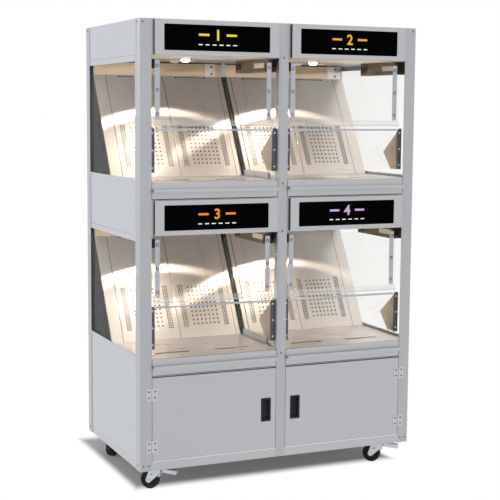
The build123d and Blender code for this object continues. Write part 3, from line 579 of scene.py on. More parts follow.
# Bright, warm and less metallic than the outer steel: painted lamplight on the cell ceilings.
STEEL_CEILING_PAINTED_LIGHT = BrushedSteel(
    "steel_ceiling", Axis.X, colour=(0.86, 0.77, 0.64), gloss=0.34, dull=0.5, metal=0.45
)
STEEL_DECK = BrushedSteel(
    "steel_deck", Axis.X, colour=(0.50, 0.48, 0.455), gloss=0.28, dull=0.42, metal=0.8
)
# The dark colour is painted shade on the guard's front strips.
STEEL_BRACKET_SHADED_AND_LIT = BracketSteel(
    "steel_bracket", Axis.Z, colour=(0.10, 0.103, 0.11), gloss=0.30, dull=0.46, metal=0.8
)
STEEL_FLAT = BrushedSteel("steel_flat", Axis.Z, colour=(0.46, 0.475, 0.53), gloss=0.28, dull=0.44)
# Bright steel for thin strips that paint highlights: seam edges, tray creases and the door sill.
STEEL_HIGHLIGHT = BrushedSteel(
    "steel_bright_edge", Axis.Y, colour=(0.80, 0.76, 0.71), gloss=0.16, dull=0.28, metal=0.95
)
# Warmer and brighter than the outer steel: painted warm lamplight; its holes' dark dots are painted
# shade.
STEEL_TRAY_PAINTED = PerforatedSteel(
    "steel_tray", Axis.X, colour=(0.92, 0.85, 0.81), gloss=0.30, dull=0.42, metal=0.6
)
STEEL_HINGE = BrushedSteel(
    "steel_hinge", Axis.Z, colour=(0.56, 0.565, 0.59), gloss=0.24, dull=0.38
)
GLASS = ClearSheet("side_glass", (0.985, 0.985, 0.98), 1.5, 0.004, 0.004)
PLASTIC = ClearSheet("clear_plastic", (0.985, 0.985, 0.98), 1.47, 0.004, 0.02)
SIGN_BLACK = Moulded(
    "sign_black", (0.0008, 0.0008, 0.0008), (0.004, 0.004, 0.004), 0.55, 0.7, 0.1, shine=0.01
)
BLACK_STEEL = Moulded(
    "black_coated_steel", (0.012, 0.012, 0.013), (0.06, 0.06, 0.06), 0.45, 0.6, 0.3, shine=0.2
)
CONTROL_STEEL = Moulded(
    "control_box_coat", (0.24, 0.18, 0.125), (0.42, 0.34, 0.25), 0.25, 0.42, 0.6, metal=0.8
)
CHARCOAL = Moulded(
    "charcoal_pull", (0.011, 0.013, 0.019), (0.05, 0.055, 0.065), 0.40, 0.55, 0.3, shine=0.2
)
SWITCH_BLACK = Moulded(
    "switch_black", (0.008, 0.008, 0.009), (0.035, 0.035, 0.035), 0.4, 0.55, 0.2, shine=0.2
)
RUBBER = Moulded(
    "wheel_rubber", (0.010, 0.010, 0.011), (0.055, 0.053, 0.05), 0.55, 0.75, 0.4, shine=0.2
)
# Black for real gaskets and joints, and also for strips and rims of painted shade.
GASKET_AND_SHADE = Moulded(
    "black_gasket", (0.008, 0.008, 0.009), (0.03, 0.03, 0.03), 0.55, 0.75, 0.3, shine=0.15
)
ZINC = Moulded(
    "zinc_plate", (0.60, 0.625, 0.67), (0.38, 0.40, 0.43), 0.28, 0.46, 0.6, 300.0, metal=0.9
)
# A black sheet of painted shade: it darkens what shows through the slopes' holes.
SHADE_SHEET = Moulded(
    "black_felt", (0.004, 0.004, 0.004), (0.012, 0.012, 0.012), 0.8, 0.95, 0.4, 700.0, shine=0.05
)
LABEL = Moulded("pale_label", (0.80, 0.74, 0.63), (0.66, 0.60, 0.50), 0.4, 0.55, 0.3)
CASING = Moulded(
    "heater_casing", (0.40, 0.40, 0.40), (0.28, 0.27, 0.26), 0.35, 0.55, 0.5, 260.0, metal=0.9
)
SCREW = Moulded(
    "screw_steel", (0.11, 0.11, 0.115), (0.06, 0.06, 0.065), 0.25, 0.4, 0.5, 500.0, metal=0.9
)
RIVET = Moulded(
    "bright_rivet", (0.55, 0.57, 0.62), (0.40, 0.41, 0.45), 0.18, 0.3, 0.4, 500.0, metal=0.95
)
# Painted highlight on polished edges, and painted reflection on the bent lip.
EDGE_HIGHLIGHT = PaintedSheen("polished_edge", (0.80, 0.83, 0.86), 0.55)
LIP_SHEEN = PaintedSheen("bent_lip", (0.78, 0.80, 0.82), 0.17)
LAMP = Glowing("lamp_lens", (1.0, 0.93, 0.80), 6.0)
# The white dashes' faint glow is painted light.
DASH_PRINT_GLOW = Glowing("print_white", (0.86, 0.86, 0.84), 0.2)
NUMERAL_TONES = {
    "upper_left": ("1", (0.76, 0.62, 0.0)),
    "upper_right": ("2", (0.78, 0.34, 0.0)),
    "lower_left": ("3", (0.78, 0.22, 0.0)),
    "lower_right": ("4", (0.55, 0.35, 0.66)),
}


class Paintbox:
    """Makes each finish's material once and hands it out again."""

    made: dict[str, bpy.types.Material] = {}

    @classmethod
    def of(cls, finish: "Finish") -> bpy.types.Material:
        """The material of a finish, made at its first use."""
        if finish.name not in cls.made:
            cls.made[finish.name] = finish.material()
        return cls.made[finish.name]


Finish = Union[BrushedSteel, PaintedSheen, ClearSheet, Moulded, Glowing]


# Mesh surfaces


def grid_faces(rows: int, columns: int, wrap: bool = False) -> np.ndarray:
    """Quads between the points of a grid.

    Args:
        rows: Points down the grid.
        columns: Points across it.
        wrap: Whether the last column joins the first.

    Returns:
        An array of four point numbers a face.
    """
    across = columns if wrap else columns - 1
    row, column = np.meshgrid(np.arange(rows - 1), np.arange(across), indexing="ij")
    after = (column + 1) % columns
    corners = [row * columns + column, row * columns + after]
    corners += [(row + 1) * columns + after, (row + 1) * columns + column]
    return np.stack(corners, axis=-1).reshape(-1, 4)


def rounded_outline(width: float, height: float, radius: float, steps: int = 6) -> np.ndarray:
    """A rectangle with round corners, as points in order.

    Each corner is a quarter circle about its own centre: centre + radius (cos a, sin a).

    Args:
        width: Size along the first axis.
        height: Size along the second axis.
        radius: Corner radius.
        steps: Points in each corner.

    Returns:
        Points in two columns.
    """
    turn = np.linspace(0.0, math.pi / 2, steps)
    quarter = np.arange(4)[:, None] * math.pi / 2 + turn[None, :]
    signs = np.array([(1, 1), (-1, 1), (-1, -1), (1, -1)])
    centres = signs * (width / 2 - radius, height / 2 - radius)
    arcs = np.stack((np.cos(quarter), np.sin(quarter)), axis=-1) * radius
    return (centres[:, None, :] + arcs).reshape(-1, 2)


def facing(direction: Point, origin: Point) -> np.ndarray:
    """A matrix that carries a flat pattern onto a wall.

    The pattern's x runs level, its y runs upwards where it can, and its z looks out.

    Args:
        direction: The wall's outward normal.
        origin: Where the pattern's own origin goes.

    Returns:
        A four by four matrix.
    """
    out = np.asarray(direction, dtype=float)
    out /= np.linalg.norm(out)
    up = np.array((0.0, 0.0, 1.0)) if abs(out[2]) < 0.9 else np.array((0.0, 1.0, 0.0))
    level = np.cross(up, out)
    level /= np.linalg.norm(level)
    matrix = np.eye(4)
    matrix[:3, 0] = level
    matrix[:3, 1] = np.cross(out, level)
    matrix[:3, 2] = out
    matrix[:3, 3] = origin
    return matrix


def shift(x: float, y: float) -> np.ndarray:
    """A matrix that moves a flat pattern in its own plane."""
    matrix = np.eye(4)
    matrix[:2, 3] = (x, y)
    return matrix


@dataclass
class Surface:
    """Points and faces on their way to becoming a piece."""

    points: np.ndarray
    faces: list = field(default_factory=list)

    def moved(self, matrix: np.ndarray) -> "Surface":
        """The same surface carried by a matrix: rotation times point plus shift."""
        return Surface(self.points @ matrix[:3, :3].T + matrix[:3, 3], self.faces)


def joined(surfaces: Iterable[Surface]) -> Surface:
    """Several surfaces as one, their face numbers shifted by the points before them."""
    points, faces, start = [], [], 0
    for surface in surfaces:
        points.append(surface.points)
        faces.extend([[int(i) + start for i in face] for face in surface.faces])
        start += len(surface.points)
    return Surface(np.concatenate(points), faces)


def stacked_loops(layers: Sequence[tuple[np.ndarray, float]], capped: bool = True) -> Surface:
    """A surface through outlines of the same number of points, one above another.

    Args:
        layers: Outlines in two columns, each with its height.
        capped: Whether the first and the last are closed by a face.

    Returns:
        The surface.
    """
    count = len(layers[0][0])
    points = [np.column_stack((loop, np.full(count, height))) for loop, height in layers]
    faces = grid_faces(len(layers), count, wrap=True).tolist()
    if capped:
        faces.append(list(range(count))[::-1])
        faces.append(list(range((len(layers) - 1) * count, len(layers) * count)))
    return Surface(np.concatenate(points), faces)


def turned(profile: np.ndarray, steps: int = 40) -> Surface:
    """A profile of radius and height turned about the height's axis.

    Point (i, j) is (r_i cos t_j, r_i sin t_j, h_i). The profile ends on the axis or closes on
    itself.

    Args:
        profile: Radius and height in two columns.
        steps: Points round the turn.

    Returns:
        The surface.
    """
    turn = np.linspace(0.0, 2 * math.pi, steps, endpoint=False)
    radius = profile[:, :1]
    x = radius * np.cos(turn)
    y = radius * np.sin(turn)
    z = np.repeat(profile[:, 1:], steps, axis=1)
    points = np.stack((x, y, z), axis=-1).reshape(-1, 3)
    return Surface(points, grid_faces(len(profile), steps, wrap=True).tolist())


def arc(centre: Pair, radius: float, start: float, end: float) -> np.ndarray:
    """Six points on a circle's arc, angles in degrees."""
    angle = np.radians(np.linspace(start, end, 6))
    return np.column_stack((centre[0] + radius * np.cos(angle), centre[1] + radius * np.sin(angle)))


def slab(size: Point, radius: float, edge: float, steps: int = 4) -> Surface:
    """A plate with round corners and eased rims, its back on z = 0.

    Args:
        size: Width, height and thickness.
        radius: Corner radius.
        edge: How much the front rim is eased.
        steps: Points in each corner.

    Returns:
        The surface.
    """
    width, height, thickness = size

    def outline(inset: float) -> np.ndarray:
        """The plate's outline, smaller by an inset on every side."""
        corner = max(radius - inset, 1e-5)
        return rounded_outline(width - 2 * inset, height - 2 * inset, corner, steps)

    insets = (0.0, 0.0, 0.3 * edge, edge)
    heights = (0.0, thickness - edge, thickness - 0.3 * edge, thickness)
    return stacked_loops([(outline(i), h) for i, h in zip(insets, heights)])


def ring(outer: np.ndarray, inner: np.ndarray, thickness: float) -> Surface:
    """A flat frame between two outlines, its back on z = 0."""
    rims = ((outer, 0.0), (outer, thickness), (inner, thickness), (inner, 0.0), (outer, 0.0))
    return stacked_loops(rims, capped=False)


def placed(name: str, data: bpy.types.ID, matrix: Matrix | None = None) -> bpy.types.Object:
    """Put new data into the scene.

    Args:
        name: The object's name.
        data: Its mesh, lamp or camera.
        matrix: Its place; the origin when left out.

    Returns:
        The new object.
    """
    made = bpy.data.objects.new(name, data)
    if matrix is not None:
        made.matrix_world = matrix
    bpy.context.collection.objects.link(made)
    return made


@dataclass
class Piece:
    """How one finished mesh joins the cabinet."""

    name: str
    surface: Surface
    finish: Finish
    slot: str
    body: str = ROOT
    replaces: tuple[str, ...] = ()
    smooth: float = 40.0

    def build(self) -> None:
        """Make the mesh, close its seams, dress it and hang it on its body."""
        mesh = bpy.data.meshes.new(self.name)
        mesh.from_pydata(self.surface.points.tolist(), [], self.surface.faces)
        work = bmesh.new()
        work.from_mesh(mesh)
        bmesh.ops.remove_doubles(work, verts=work.verts, dist=1e-6)
        bmesh.ops.dissolve_degenerate(work, edges=work.edges, dist=1e-7)
        bmesh.ops.recalc_face_normals(work, faces=work.faces)
        work.to_mesh(mesh)
        work.free()
        mesh.shade_smooth()
        mesh.set_sharp_from_angle(angle=math.radians(self.smooth))
        mesh.materials.append(Paintbox.of(self.finish))
        made = placed(self.name, mesh)
        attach(made, self.body)
        if self.replaces:
            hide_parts(*self.replaces)
        LOG.info("%s: %d faces on %s", self.name, len(mesh.polygons), self.body)


def dress(finish: Finish, *nodes: str) -> None:
    """Give nodes of the frame a finish.

    Args:
        finish: What they are made of.
        nodes: Their names.
    """
    for name in nodes:
        mesh = frame["nodes"][name].data
        mesh.materials.clear()
        mesh.materials.append(Paintbox.of(finish))
        LOG.info("%s: %s", name, finish.name)


# The studio


@dataclass(frozen=True)
class SoftLamp:
    """A square soft lamp that looks at a point."""

    name: str
    place: Point
    target: Point
    size: float
    power: float
    tone: Colour = WHITE

    def build(self) -> None:
        """Hang the lamp."""
        data = bpy.data.lights.new(self.name, "AREA")
        data.shape = "SQUARE"
        data.size, data.energy, data.color = self.size, self.power, self.tone
        look = (Vector(self.target) - Vector(self.place)).to_track_quat("-Z", "Y")
        placed(self.name, data, Matrix.Translation(self.place) @ look.to_matrix().to_4x4())


@dataclass(frozen=True)
class Studio:
    """The camera at the photograph's angle, soft lamps, a pale floor and a white surround."""

    eye: Point = (-2.129, -4.8385, 1.523)
    azimuth: float = -23.85
    elevation: float = 6.47
    roll: float = 0.43
    lens: float = 88.5
    reach: float = 200.0
    floor_half: float = 14.0
    floor_colour: Colour = (0.93, 0.93, 0.93)
    # The dark floor patch under the cabinet is painted shadow.
    shadow_patch_middle: Pair = (0.0, 0.17)
    shadow_patch_half: Pair = (0.565, 0.355)
    shadow_patch_fade: Pair = (0.047, 0.10)
    painted_shadow_colour: Colour = (0.27, 0.27, 0.27)
    shadow_veil: float = 0.105
    surround: float = 0.62
    lamps: tuple[SoftLamp, ...] = (
        SoftLamp("key", (-2.6, -4.2, 4.2), (0.0, 0.0, 0.9), 3.0, 60.0),
        SoftLamp("side", (-5.2, 0.6, 3.3), (0.0, -0.1, 1.3), 3.4, 165.0, (0.89, 0.95, 1.0)),
        SoftLamp("top", (0.0, 0.6, 5.0), (0.0, 0.0, 0.0), 3.0, 60.0),
    )

    def camera(self) -> None:
        """Point the camera: forward from the two angles, then turned about itself by the roll."""
        turn, tilt, roll = (math.radians(a) for a in (self.azimuth, self.elevation, self.roll))
        ahead = Vector(
            (-math.sin(turn) * math.cos(tilt), math.cos(turn) * math.cos(tilt), -math.sin(tilt))
        )
        level = ahead.cross(Vector((0.0, 0.0, 1.0))).normalized()
        above = level.cross(ahead)
        right = level * math.cos(roll) + above * math.sin(roll)
        up = above * math.cos(roll) - level * math.sin(roll)
        data = bpy.data.cameras.new("photo_camera")
        data.lens, data.clip_end = self.lens, self.reach
        turned_by = Matrix((right, up, -ahead)).transposed().to_4x4()
        place = Matrix.Translation(self.eye) @ turned_by
        bpy.context.scene.camera = placed("photo_camera", data, place)

    def world(self) -> None:
        """A surround that is white to the eye and in reflections, and dimmer as a light."""
        world = bpy.data.worlds.new("studio")
        bpy.context.scene.world = world
        shader = Shader("studio", world, "World")
        seen = shader.rays("Camera", "Transmission", "Glossy")
        strength = shader.stretch(seen, self.surround, 1.0)
        glow = {"Color": WHITE, "Strength": strength}
        shader.close(shader.node("ShaderNodeBackground", None, glow))

    def floor(self) -> None:
        """Lay the floor: a dark patch of painted shadow under the cabinet, over its real shadow,
        and plain white beyond its edge.
        """
        shader = Shader("studio_floor")
        past = [
            ((place - middle).through("ABSOLUTE") - half) / fade
            for place, middle, half, fade in zip(
                shader.axes()[:2], self.shadow_patch_middle, self.shadow_patch_half, self.shadow_patch_fade
            )
        ]
        away = past[0].maths("MAXIMUM", past[0], past[1])
        smooth = {"interpolation_type": "SMOOTHSTEP"}
        veil = {"Value": away, "To Min": self.shadow_veil}
        outside = shader.signal(shader.node("ShaderNodeMapRange", smooth, veil))
        # The dark diffuse patch paints the cabinet's shadow on the floor.
        shade = shader.node("ShaderNodeBsdfDiffuse", None, {"Color": self.painted_shadow_colour})
        matt = shader.node("ShaderNodeBsdfDiffuse", None, {"Color": self.floor_colour})
        white = shader.node("ShaderNodeEmission", None, {"Color": WHITE})
        seen = shader.stretch(shader.rays("Camera", "Glossy", "Transmission"), 0.0, 1.0)
        shader.close(shader.blend(seen, matt, shader.blend(outside, shade, white)))
        half = self.floor_half
        mesh = bpy.data.meshes.new("floor")
        corners = [(-half, -half, 0.0), (half, -half, 0.0), (half, half, 0.0), (-half, half, 0.0)]
        mesh.from_pydata(corners, [], [(0, 1, 2, 3)])
        mesh.materials.append(shader.material)
        placed("floor", mesh)

    def build(self) -> None:
        """Set up the whole studio."""
        self.camera()
        self.world()
        for lamp in self.lamps:
            lamp.build()
        self.floor()
        LOG.info("studio: camera, %d lamps and floor", len(self.lamps))


# The cabinet


@dataclass(frozen=True)
class Places:
    """The places that the pieces share: the front face, the bays' middles and the slopes."""

    front: float = -0.3455
    centre: float = 0.2905
    slope_foot: float = 0.391
    slope_depth: float = 0.242
    slope_rise: float = 0.427


PLACES = Places()


def screw_head(radius: float, height: float) -> Surface:
    """A domed screw head with a square recess, its back on z = 0.

    The dome's height falls from the recess rim to the edge as a quarter of a sine; the recess is a
    square well with rounded corners, so every loop has the same number of points.

    Args:
        radius: The head's radius.
        height: How proud it stands.

    Returns:
        The surface.
    """
    turn = np.linspace(0.0, 2 * math.pi, 20, endpoint=False)
    unit = np.column_stack((np.cos(turn), np.sin(turn)))
    circle = unit * radius
    recess = unit / np.max(np.abs(unit), axis=1, keepdims=True) ** 0.8 * (0.34 * radius)
    rings = (
        (circle, 0.0),
        (circle, 0.35),
        (circle * 0.86, 0.72),
        (circle * 0.6, 0.94),
        (recess * 1.12, 1.0),
        (recess, 0.96),
        (recess * 0.8, 0.35),
    )
    return stacked_loops([(loop, share * height) for loop, share in rings])


def rivet_head(radius: float, height: float) -> Surface:
    """A plain domed rivet head: a quarter ellipse turned about its axis."""
    rise = np.radians(np.linspace(0.0, 88.0, 7))
    profile = np.column_stack((radius * np.cos(rise), height * np.sin(rise)))
    dome = np.concatenate(([(0.0, 0.0), (radius, 0.0)], profile, [(0.0, height)]))
    return turned(dome, 20)


def strip(size: Point, edge: float) -> Surface:
    """A thin bar with eased rims: width, length and height."""
    return slab(size, min(size[0], size[1]) * 0.2, edge, 3)


@dataclass(frozen=True)
class Part:
    """The pieces of one cell, door or caster, whose names end in its own."""

    side: Side

    @property
    def key(self) -> str:
        """The part's own name."""
        return self.side.name.lower()

    def add(
        self,
        name: str,
        surface: Surface,
        places: Iterable[np.ndarray],
        finish: Finish,
        slot: str,
        body: str = ROOT,
        replaces: tuple[str, ...] = (),
    ) -> None:
        """Join copies of a surface into one piece, named after the part.

        Args:
            name: What the piece is.
            surface: One copy, at the origin.
            places: A matrix for each copy.
            finish: What it is made of.
            slot: Its material slot; not used.
            body: The body that it rides on.
            replaces: The nodes that it stands for.
        """
        copies = joined(surface.moved(place) for place in places)
        Piece(f"{name}_{self.key}", copies, finish, slot, body, replaces).build()


@dataclass(frozen=True)
class CellPart(Part):
    """The pieces of one cell, with the places that they take from it."""

    tier: Tier

    @property
    def key(self) -> str:
        """The cell's own name."""
        return f"{self.tier.name}_{self.side.name}".lower()

    @property
    def floor(self) -> float:
        """Level of the cell's tray."""
        return self.tier.value[0]

    @property
    def ceiling(self) -> float:
        """Level of the cell's ceiling."""
        return self.tier.value[1]

    def across(self, offset: float = 0.0) -> float:
        """A place along x: the bay's middle, plus an offset to the right."""
        return self.side.value * PLACES.centre + offset

    def on_slope(self, offset: float, along: float, proud: float = 0.0) -> np.ndarray:
        """A matrix onto the slope.

        Args:
            offset: Place along x, from the bay's middle.
            along: Distance up the slope from its foot.
            proud: Distance off its face.

        Returns:
            The matrix; its x runs level and its y up the slope.
        """
        length = math.hypot(PLACES.slope_depth, PLACES.slope_rise)
        run, rise = PLACES.slope_depth / length, PLACES.slope_rise / length
        y = PLACES.front + PLACES.slope_foot + along * run - proud * rise
        z = self.floor + along * rise + proud * run
        return facing((0.0, -rise, run), (self.across(offset), y, z))


def dress_standing() -> None:
    """Give each node of the standing frame its finish, with the grain along its length."""
    dress(STEEL_UPRIGHT, "upright_posts", "divider_trim")
    dress(STEEL_SIDE, "wall_panels", "service_panel")
    dress(STEEL_ACROSS, "base_rails", "sign_boxes", "sign_covers", "drawer_runners")
    dress(STEEL_DECK, "decks")
    dress(STEEL_LINING_PAINTED_LIGHT, "slope_panels")
    dress(STEEL_TRAY_PAINTED, "sift_trays")
    dress(GLASS, "side_glass", "divider_glass")
    dress(STEEL_BRACKET_SHADED_AND_LIT, "guard_brackets")
    dress(BLACK_STEEL, "flap_brackets")
    dress(PLASTIC, "guard_sheets")
    dress(SIGN_BLACK, "sign_panels")
    dress(CONTROL_STEEL, "control_boxes")
    dress(LAMP, "lamp_lenses")
    dress(CASING, "heater_units")
    dress(SWITCH_BLACK, "power_inlet")
    dress(ZINC, "caster_plates")
    dress(STEEL_HINGE, "hinge_leaves")
    dress(SCREW, "body_screws")


def dress_moving() -> None:
    """Dress the flaps, drawers, switches, doors and casters."""
    for side, tier in CELLS:
        key = CellPart(side, tier).key
        dress(PLASTIC, f"flap_sheet_{key}")
        dress(STEEL_FLAT, f"flap_flats_{key}")
        dress(BLACK_STEEL, f"flap_ears_{key}")
        dress(STEEL_ACROSS, f"kernel_drawer_{key}")
        dress(SWITCH_BLACK, f"rocker_{key}")
    for side in Side:
        key = Part(side).key
        dress(STEEL_DOOR, f"door_panel_{key}")
        dress(STEEL_HINGE, f"door_leaves_{key}")
        dress(CHARCOAL, f"door_pull_{key}")
        dress(ZINC, f"caster_brake_front_{key}", *(f"caster_fork_{e.value}_{key}" for e in End))
        dress(RUBBER, *(f"caster_wheel_{e.value}_{key}" for e in End))


@dataclass(frozen=True)
class Sign(CellPart):
    """The black front above a cell: a numeral between two bars, over a row of dashes, printed with
    a faint painted glow.
    """

    proud: float = 0.0121
    rise: float = 0.138
    numeral_height: float = 0.042
    stroke: float = 0.022
    print_height: float = 0.0002
    # glow: the prints' faint painted glow.
    glow: float = 0.25
    lift: float = 0.012
    bar: Point = (0.044, 0.0085, 0.0004)
    bar_corner: float = 0.0015
    bar_reach: float = 0.036
    dash: Point = (0.017, 0.0040, 0.0004)
    dash_corner: float = 0.0008
    dash_pitch: float = 0.029
    dashes: int = 6
    dash_drop: float = 0.026

    def build(self) -> None:
        """Lay the numeral, the bars and the dashes on the black panel."""
        numeral, tone = NUMERAL_TONES[self.key]
        lit = Glowing(f"print_{self.key}", tone, self.glow)
        panel = Wall.FRONT.at(self.across(), -self.proud, self.ceiling + self.rise / 2)
        bar = slab(self.bar, self.bar_corner, self.print_height)
        reach = self.bar_reach + self.bar[0] / 2
        spots = [panel @ shift(way * reach, self.lift) for way in (-1, 1)]
        self.add("sign_bars", bar, spots, lit, "black_plastic")
        self.add("sign_numeral", self.numeral(numeral), [panel], lit, "black_plastic")
        dash = slab(self.dash, self.dash_corner, self.print_height)
        row = (np.arange(self.dashes) - (self.dashes - 1) / 2) * self.dash_pitch
        spots = [panel @ shift(x, -self.dash_drop) for x in row]
        self.add("sign_dashes", dash, spots, DASH_PRINT_GLOW, "black_plastic")

    def numeral(self, text: str) -> Surface:
        """The numeral as a thin raised print, with its middle over the origin."""
        curve = bpy.data.curves.new("numeral", "FONT")
        curve.body = text
        curve.extrude, curve.offset = self.print_height, self.stroke
        holder = placed("numeral", curve)
        mesh = bpy.data.meshes.new_from_object(holder)
        points = np.empty(len(mesh.vertices) * 3)
        mesh.vertices.foreach_get("co", points)
        points = points.reshape(-1, 3)
        points[:, :2] -= (points[:, :2].max(0) + points[:, :2].min(0)) / 2
        points[:, :2] *= self.numeral_height / np.ptp(points[:, 1])
        points += (0.0, self.lift, self.print_height)
        faces = [list(face.vertices) for face in mesh.polygons]
        bpy.data.objects.remove(holder)
        bpy.data.curves.remove(curve)
        bpy.data.meshes.remove(mesh)
        return Surface(points, faces)


@dataclass(frozen=True)
class CellLamp(CellPart):
    """The round lamp in a cell's ceiling: a domed lens in a bezel, and the cone of its light."""

    offset: float = -0.040
    y: float = 0.240
    radius: float = 0.020
    depth: float = 0.016
    bezel: float = 0.008
    sunk: float = -0.0002
    lens_gap: float = 0.0006
    lens_drop: float = 0.003
    tip: float = 0.0003
    roll: float = 0.0022
    lower_spread: float = 127.5
    upper_spread: float = 122.5
    edge: float = 0.17
    power: float = 2.1
    bulb: float = 0.004
    rim_width: float = 9.0
    rim_gain: float = 44.0
    tone: Colour = (1.0, 0.89, 0.78)

    @property
    def spread(self) -> float:
        """The cone's full angle on this tier, in degrees."""
        return self.lower_spread if self.tier is Tier.LOWER else self.upper_spread

    def lens(self) -> Surface:
        """The lens: radius r cos(a)^0.6 at depth d sin(a), turned about the upright axis."""
        inner = self.radius - self.lens_gap
        sweep = np.radians(np.linspace(0.0, 90.0, 12))
        side = inner * np.cos(sweep) ** 0.6
        side[-1] = 0.0
        drop = -self.lens_drop - (self.depth - self.lens_drop - self.tip) * np.sin(sweep)
        back = [(0.0, self.sunk), (inner, self.sunk)]
        return turned(np.concatenate((back, np.column_stack((side, drop)))))

    def rim(self) -> Surface:
        """The bezel: a flat ring with a rolled outer edge."""
        near, far = self.radius - 0.0004, self.radius + self.bezel
        back = [(near, self.sunk), (far, self.sunk)]
        rolled = arc((far - self.roll, -self.roll), self.roll, 0.0, -90.0)
        lip = [(near + 0.0012, -0.0036), (near, -0.0030), (near, self.sunk)]
        return turned(np.concatenate((back, rolled, lip)))

    def shape(self, data: bpy.types.SpotLight) -> None:
        """Brighten the cone towards its edge, as the lamp's reflector does.

        The strength is 1 + gain * s, where s rises from nought to one as the angle from the
        cone's axis nears its edge; the angle's cosine is the light's own depth direction.

        Args:
            data: The lamp.
        """
        shader = Shader(data.name, data, "Light")
        way = shader.signal(shader.node("ShaderNodeTexCoord"), "Normal")
        split = shader.node("ShaderNodeSeparateXYZ", None, {0: way})
        half = self.spread / 2
        gain = shader.node(
            "ShaderNodeMapRange",
            {"interpolation_type": "SMOOTHSTEP"},
            {
                "Value": shader.signal(split, "Z").through("ABSOLUTE"),
                "From Min": math.cos(math.radians(half - self.rim_width)),
                "From Max": math.cos(math.radians(half)),
                "To Min": 1.0,
                "To Max": 1.0 + self.rim_gain,
            },
        )
        strength = {"Color": WHITE, "Strength": shader.signal(gain)}
        shader.close(shader.node("ShaderNodeEmission", None, strength))

    def build(self) -> None:
        """Turn the lens and its bezel, and hang the light under them."""
        spot = np.eye(4)
        spot[:3, 3] = (self.across(self.offset), PLACES.front + self.y, self.ceiling)
        covers = ("lamp_lenses",)
        self.add("lamp_lens", self.lens(), [spot], LAMP, "lamp_glass", replaces=covers)
        self.add("lamp_bezel", self.rim(), [spot], RIVET, "screw_steel")
        data = bpy.data.lights.new(f"cell_light_{self.key}", "SPOT")
        data.energy, data.color = self.power, self.tone
        data.spot_size = math.radians(self.spread)
        data.spot_blend, data.shadow_soft_size = self.edge, self.bulb
        self.shape(data)
        below = spot[:3, 3] - (0.0, 0.0, self.depth + 0.001)
        placed(data.name, data, Matrix.Translation(below))


@dataclass(frozen=True)
class ControlBox(CellPart):
    """The box on a cell's right wall: a pale label plate, a switch frame and cover screws."""

    left_face: float = -0.061
    right_face: float = 0.5425
    label: Point = (0.100, 0.020, 0.0006)
    label_place: Pair = (0.110, 0.027)
    switch_place: Pair = (0.318, 0.026)
    frame: Pair = (0.0535, 0.0275)
    hole: Pair = (0.0436, 0.0184)
    frame_height: float = 0.0012
    screws: tuple[Pair, ...] = ((0.060, 0.045), (0.342, 0.045), (0.200, 0.009), (0.200, 0.045))
    screw: Pair = (0.003, 0.0012)

    def on_face(self, place: Pair) -> np.ndarray:
        """A matrix onto the box's face, from depth and drop below the ceiling."""
        face = self.right_face if self.side is Side.RIGHT else self.left_face
        return Wall.LEFT.at(face, place[0], self.ceiling - place[1])

    def build(self) -> None:
        """Fix the plate, the frame and the screws."""
        plate, spot = slab(self.label, 0.002, 0.0002), self.on_face(self.label_place)
        self.add("control_label", plate, [spot], LABEL, "black_steel")
        outer = rounded_outline(*self.frame, 0.004)
        inner = rounded_outline(*self.hole, 0.0015)
        border, spot = ring(outer, inner, self.frame_height), self.on_face(self.switch_place)
        self.add("switch_frame", border, [spot], SWITCH_BLACK, "black_plastic")
        spots = [self.on_face(place) for place in self.screws]
        self.add("control_screws", screw_head(*self.screw), spots, SCREW, "screw_steel")


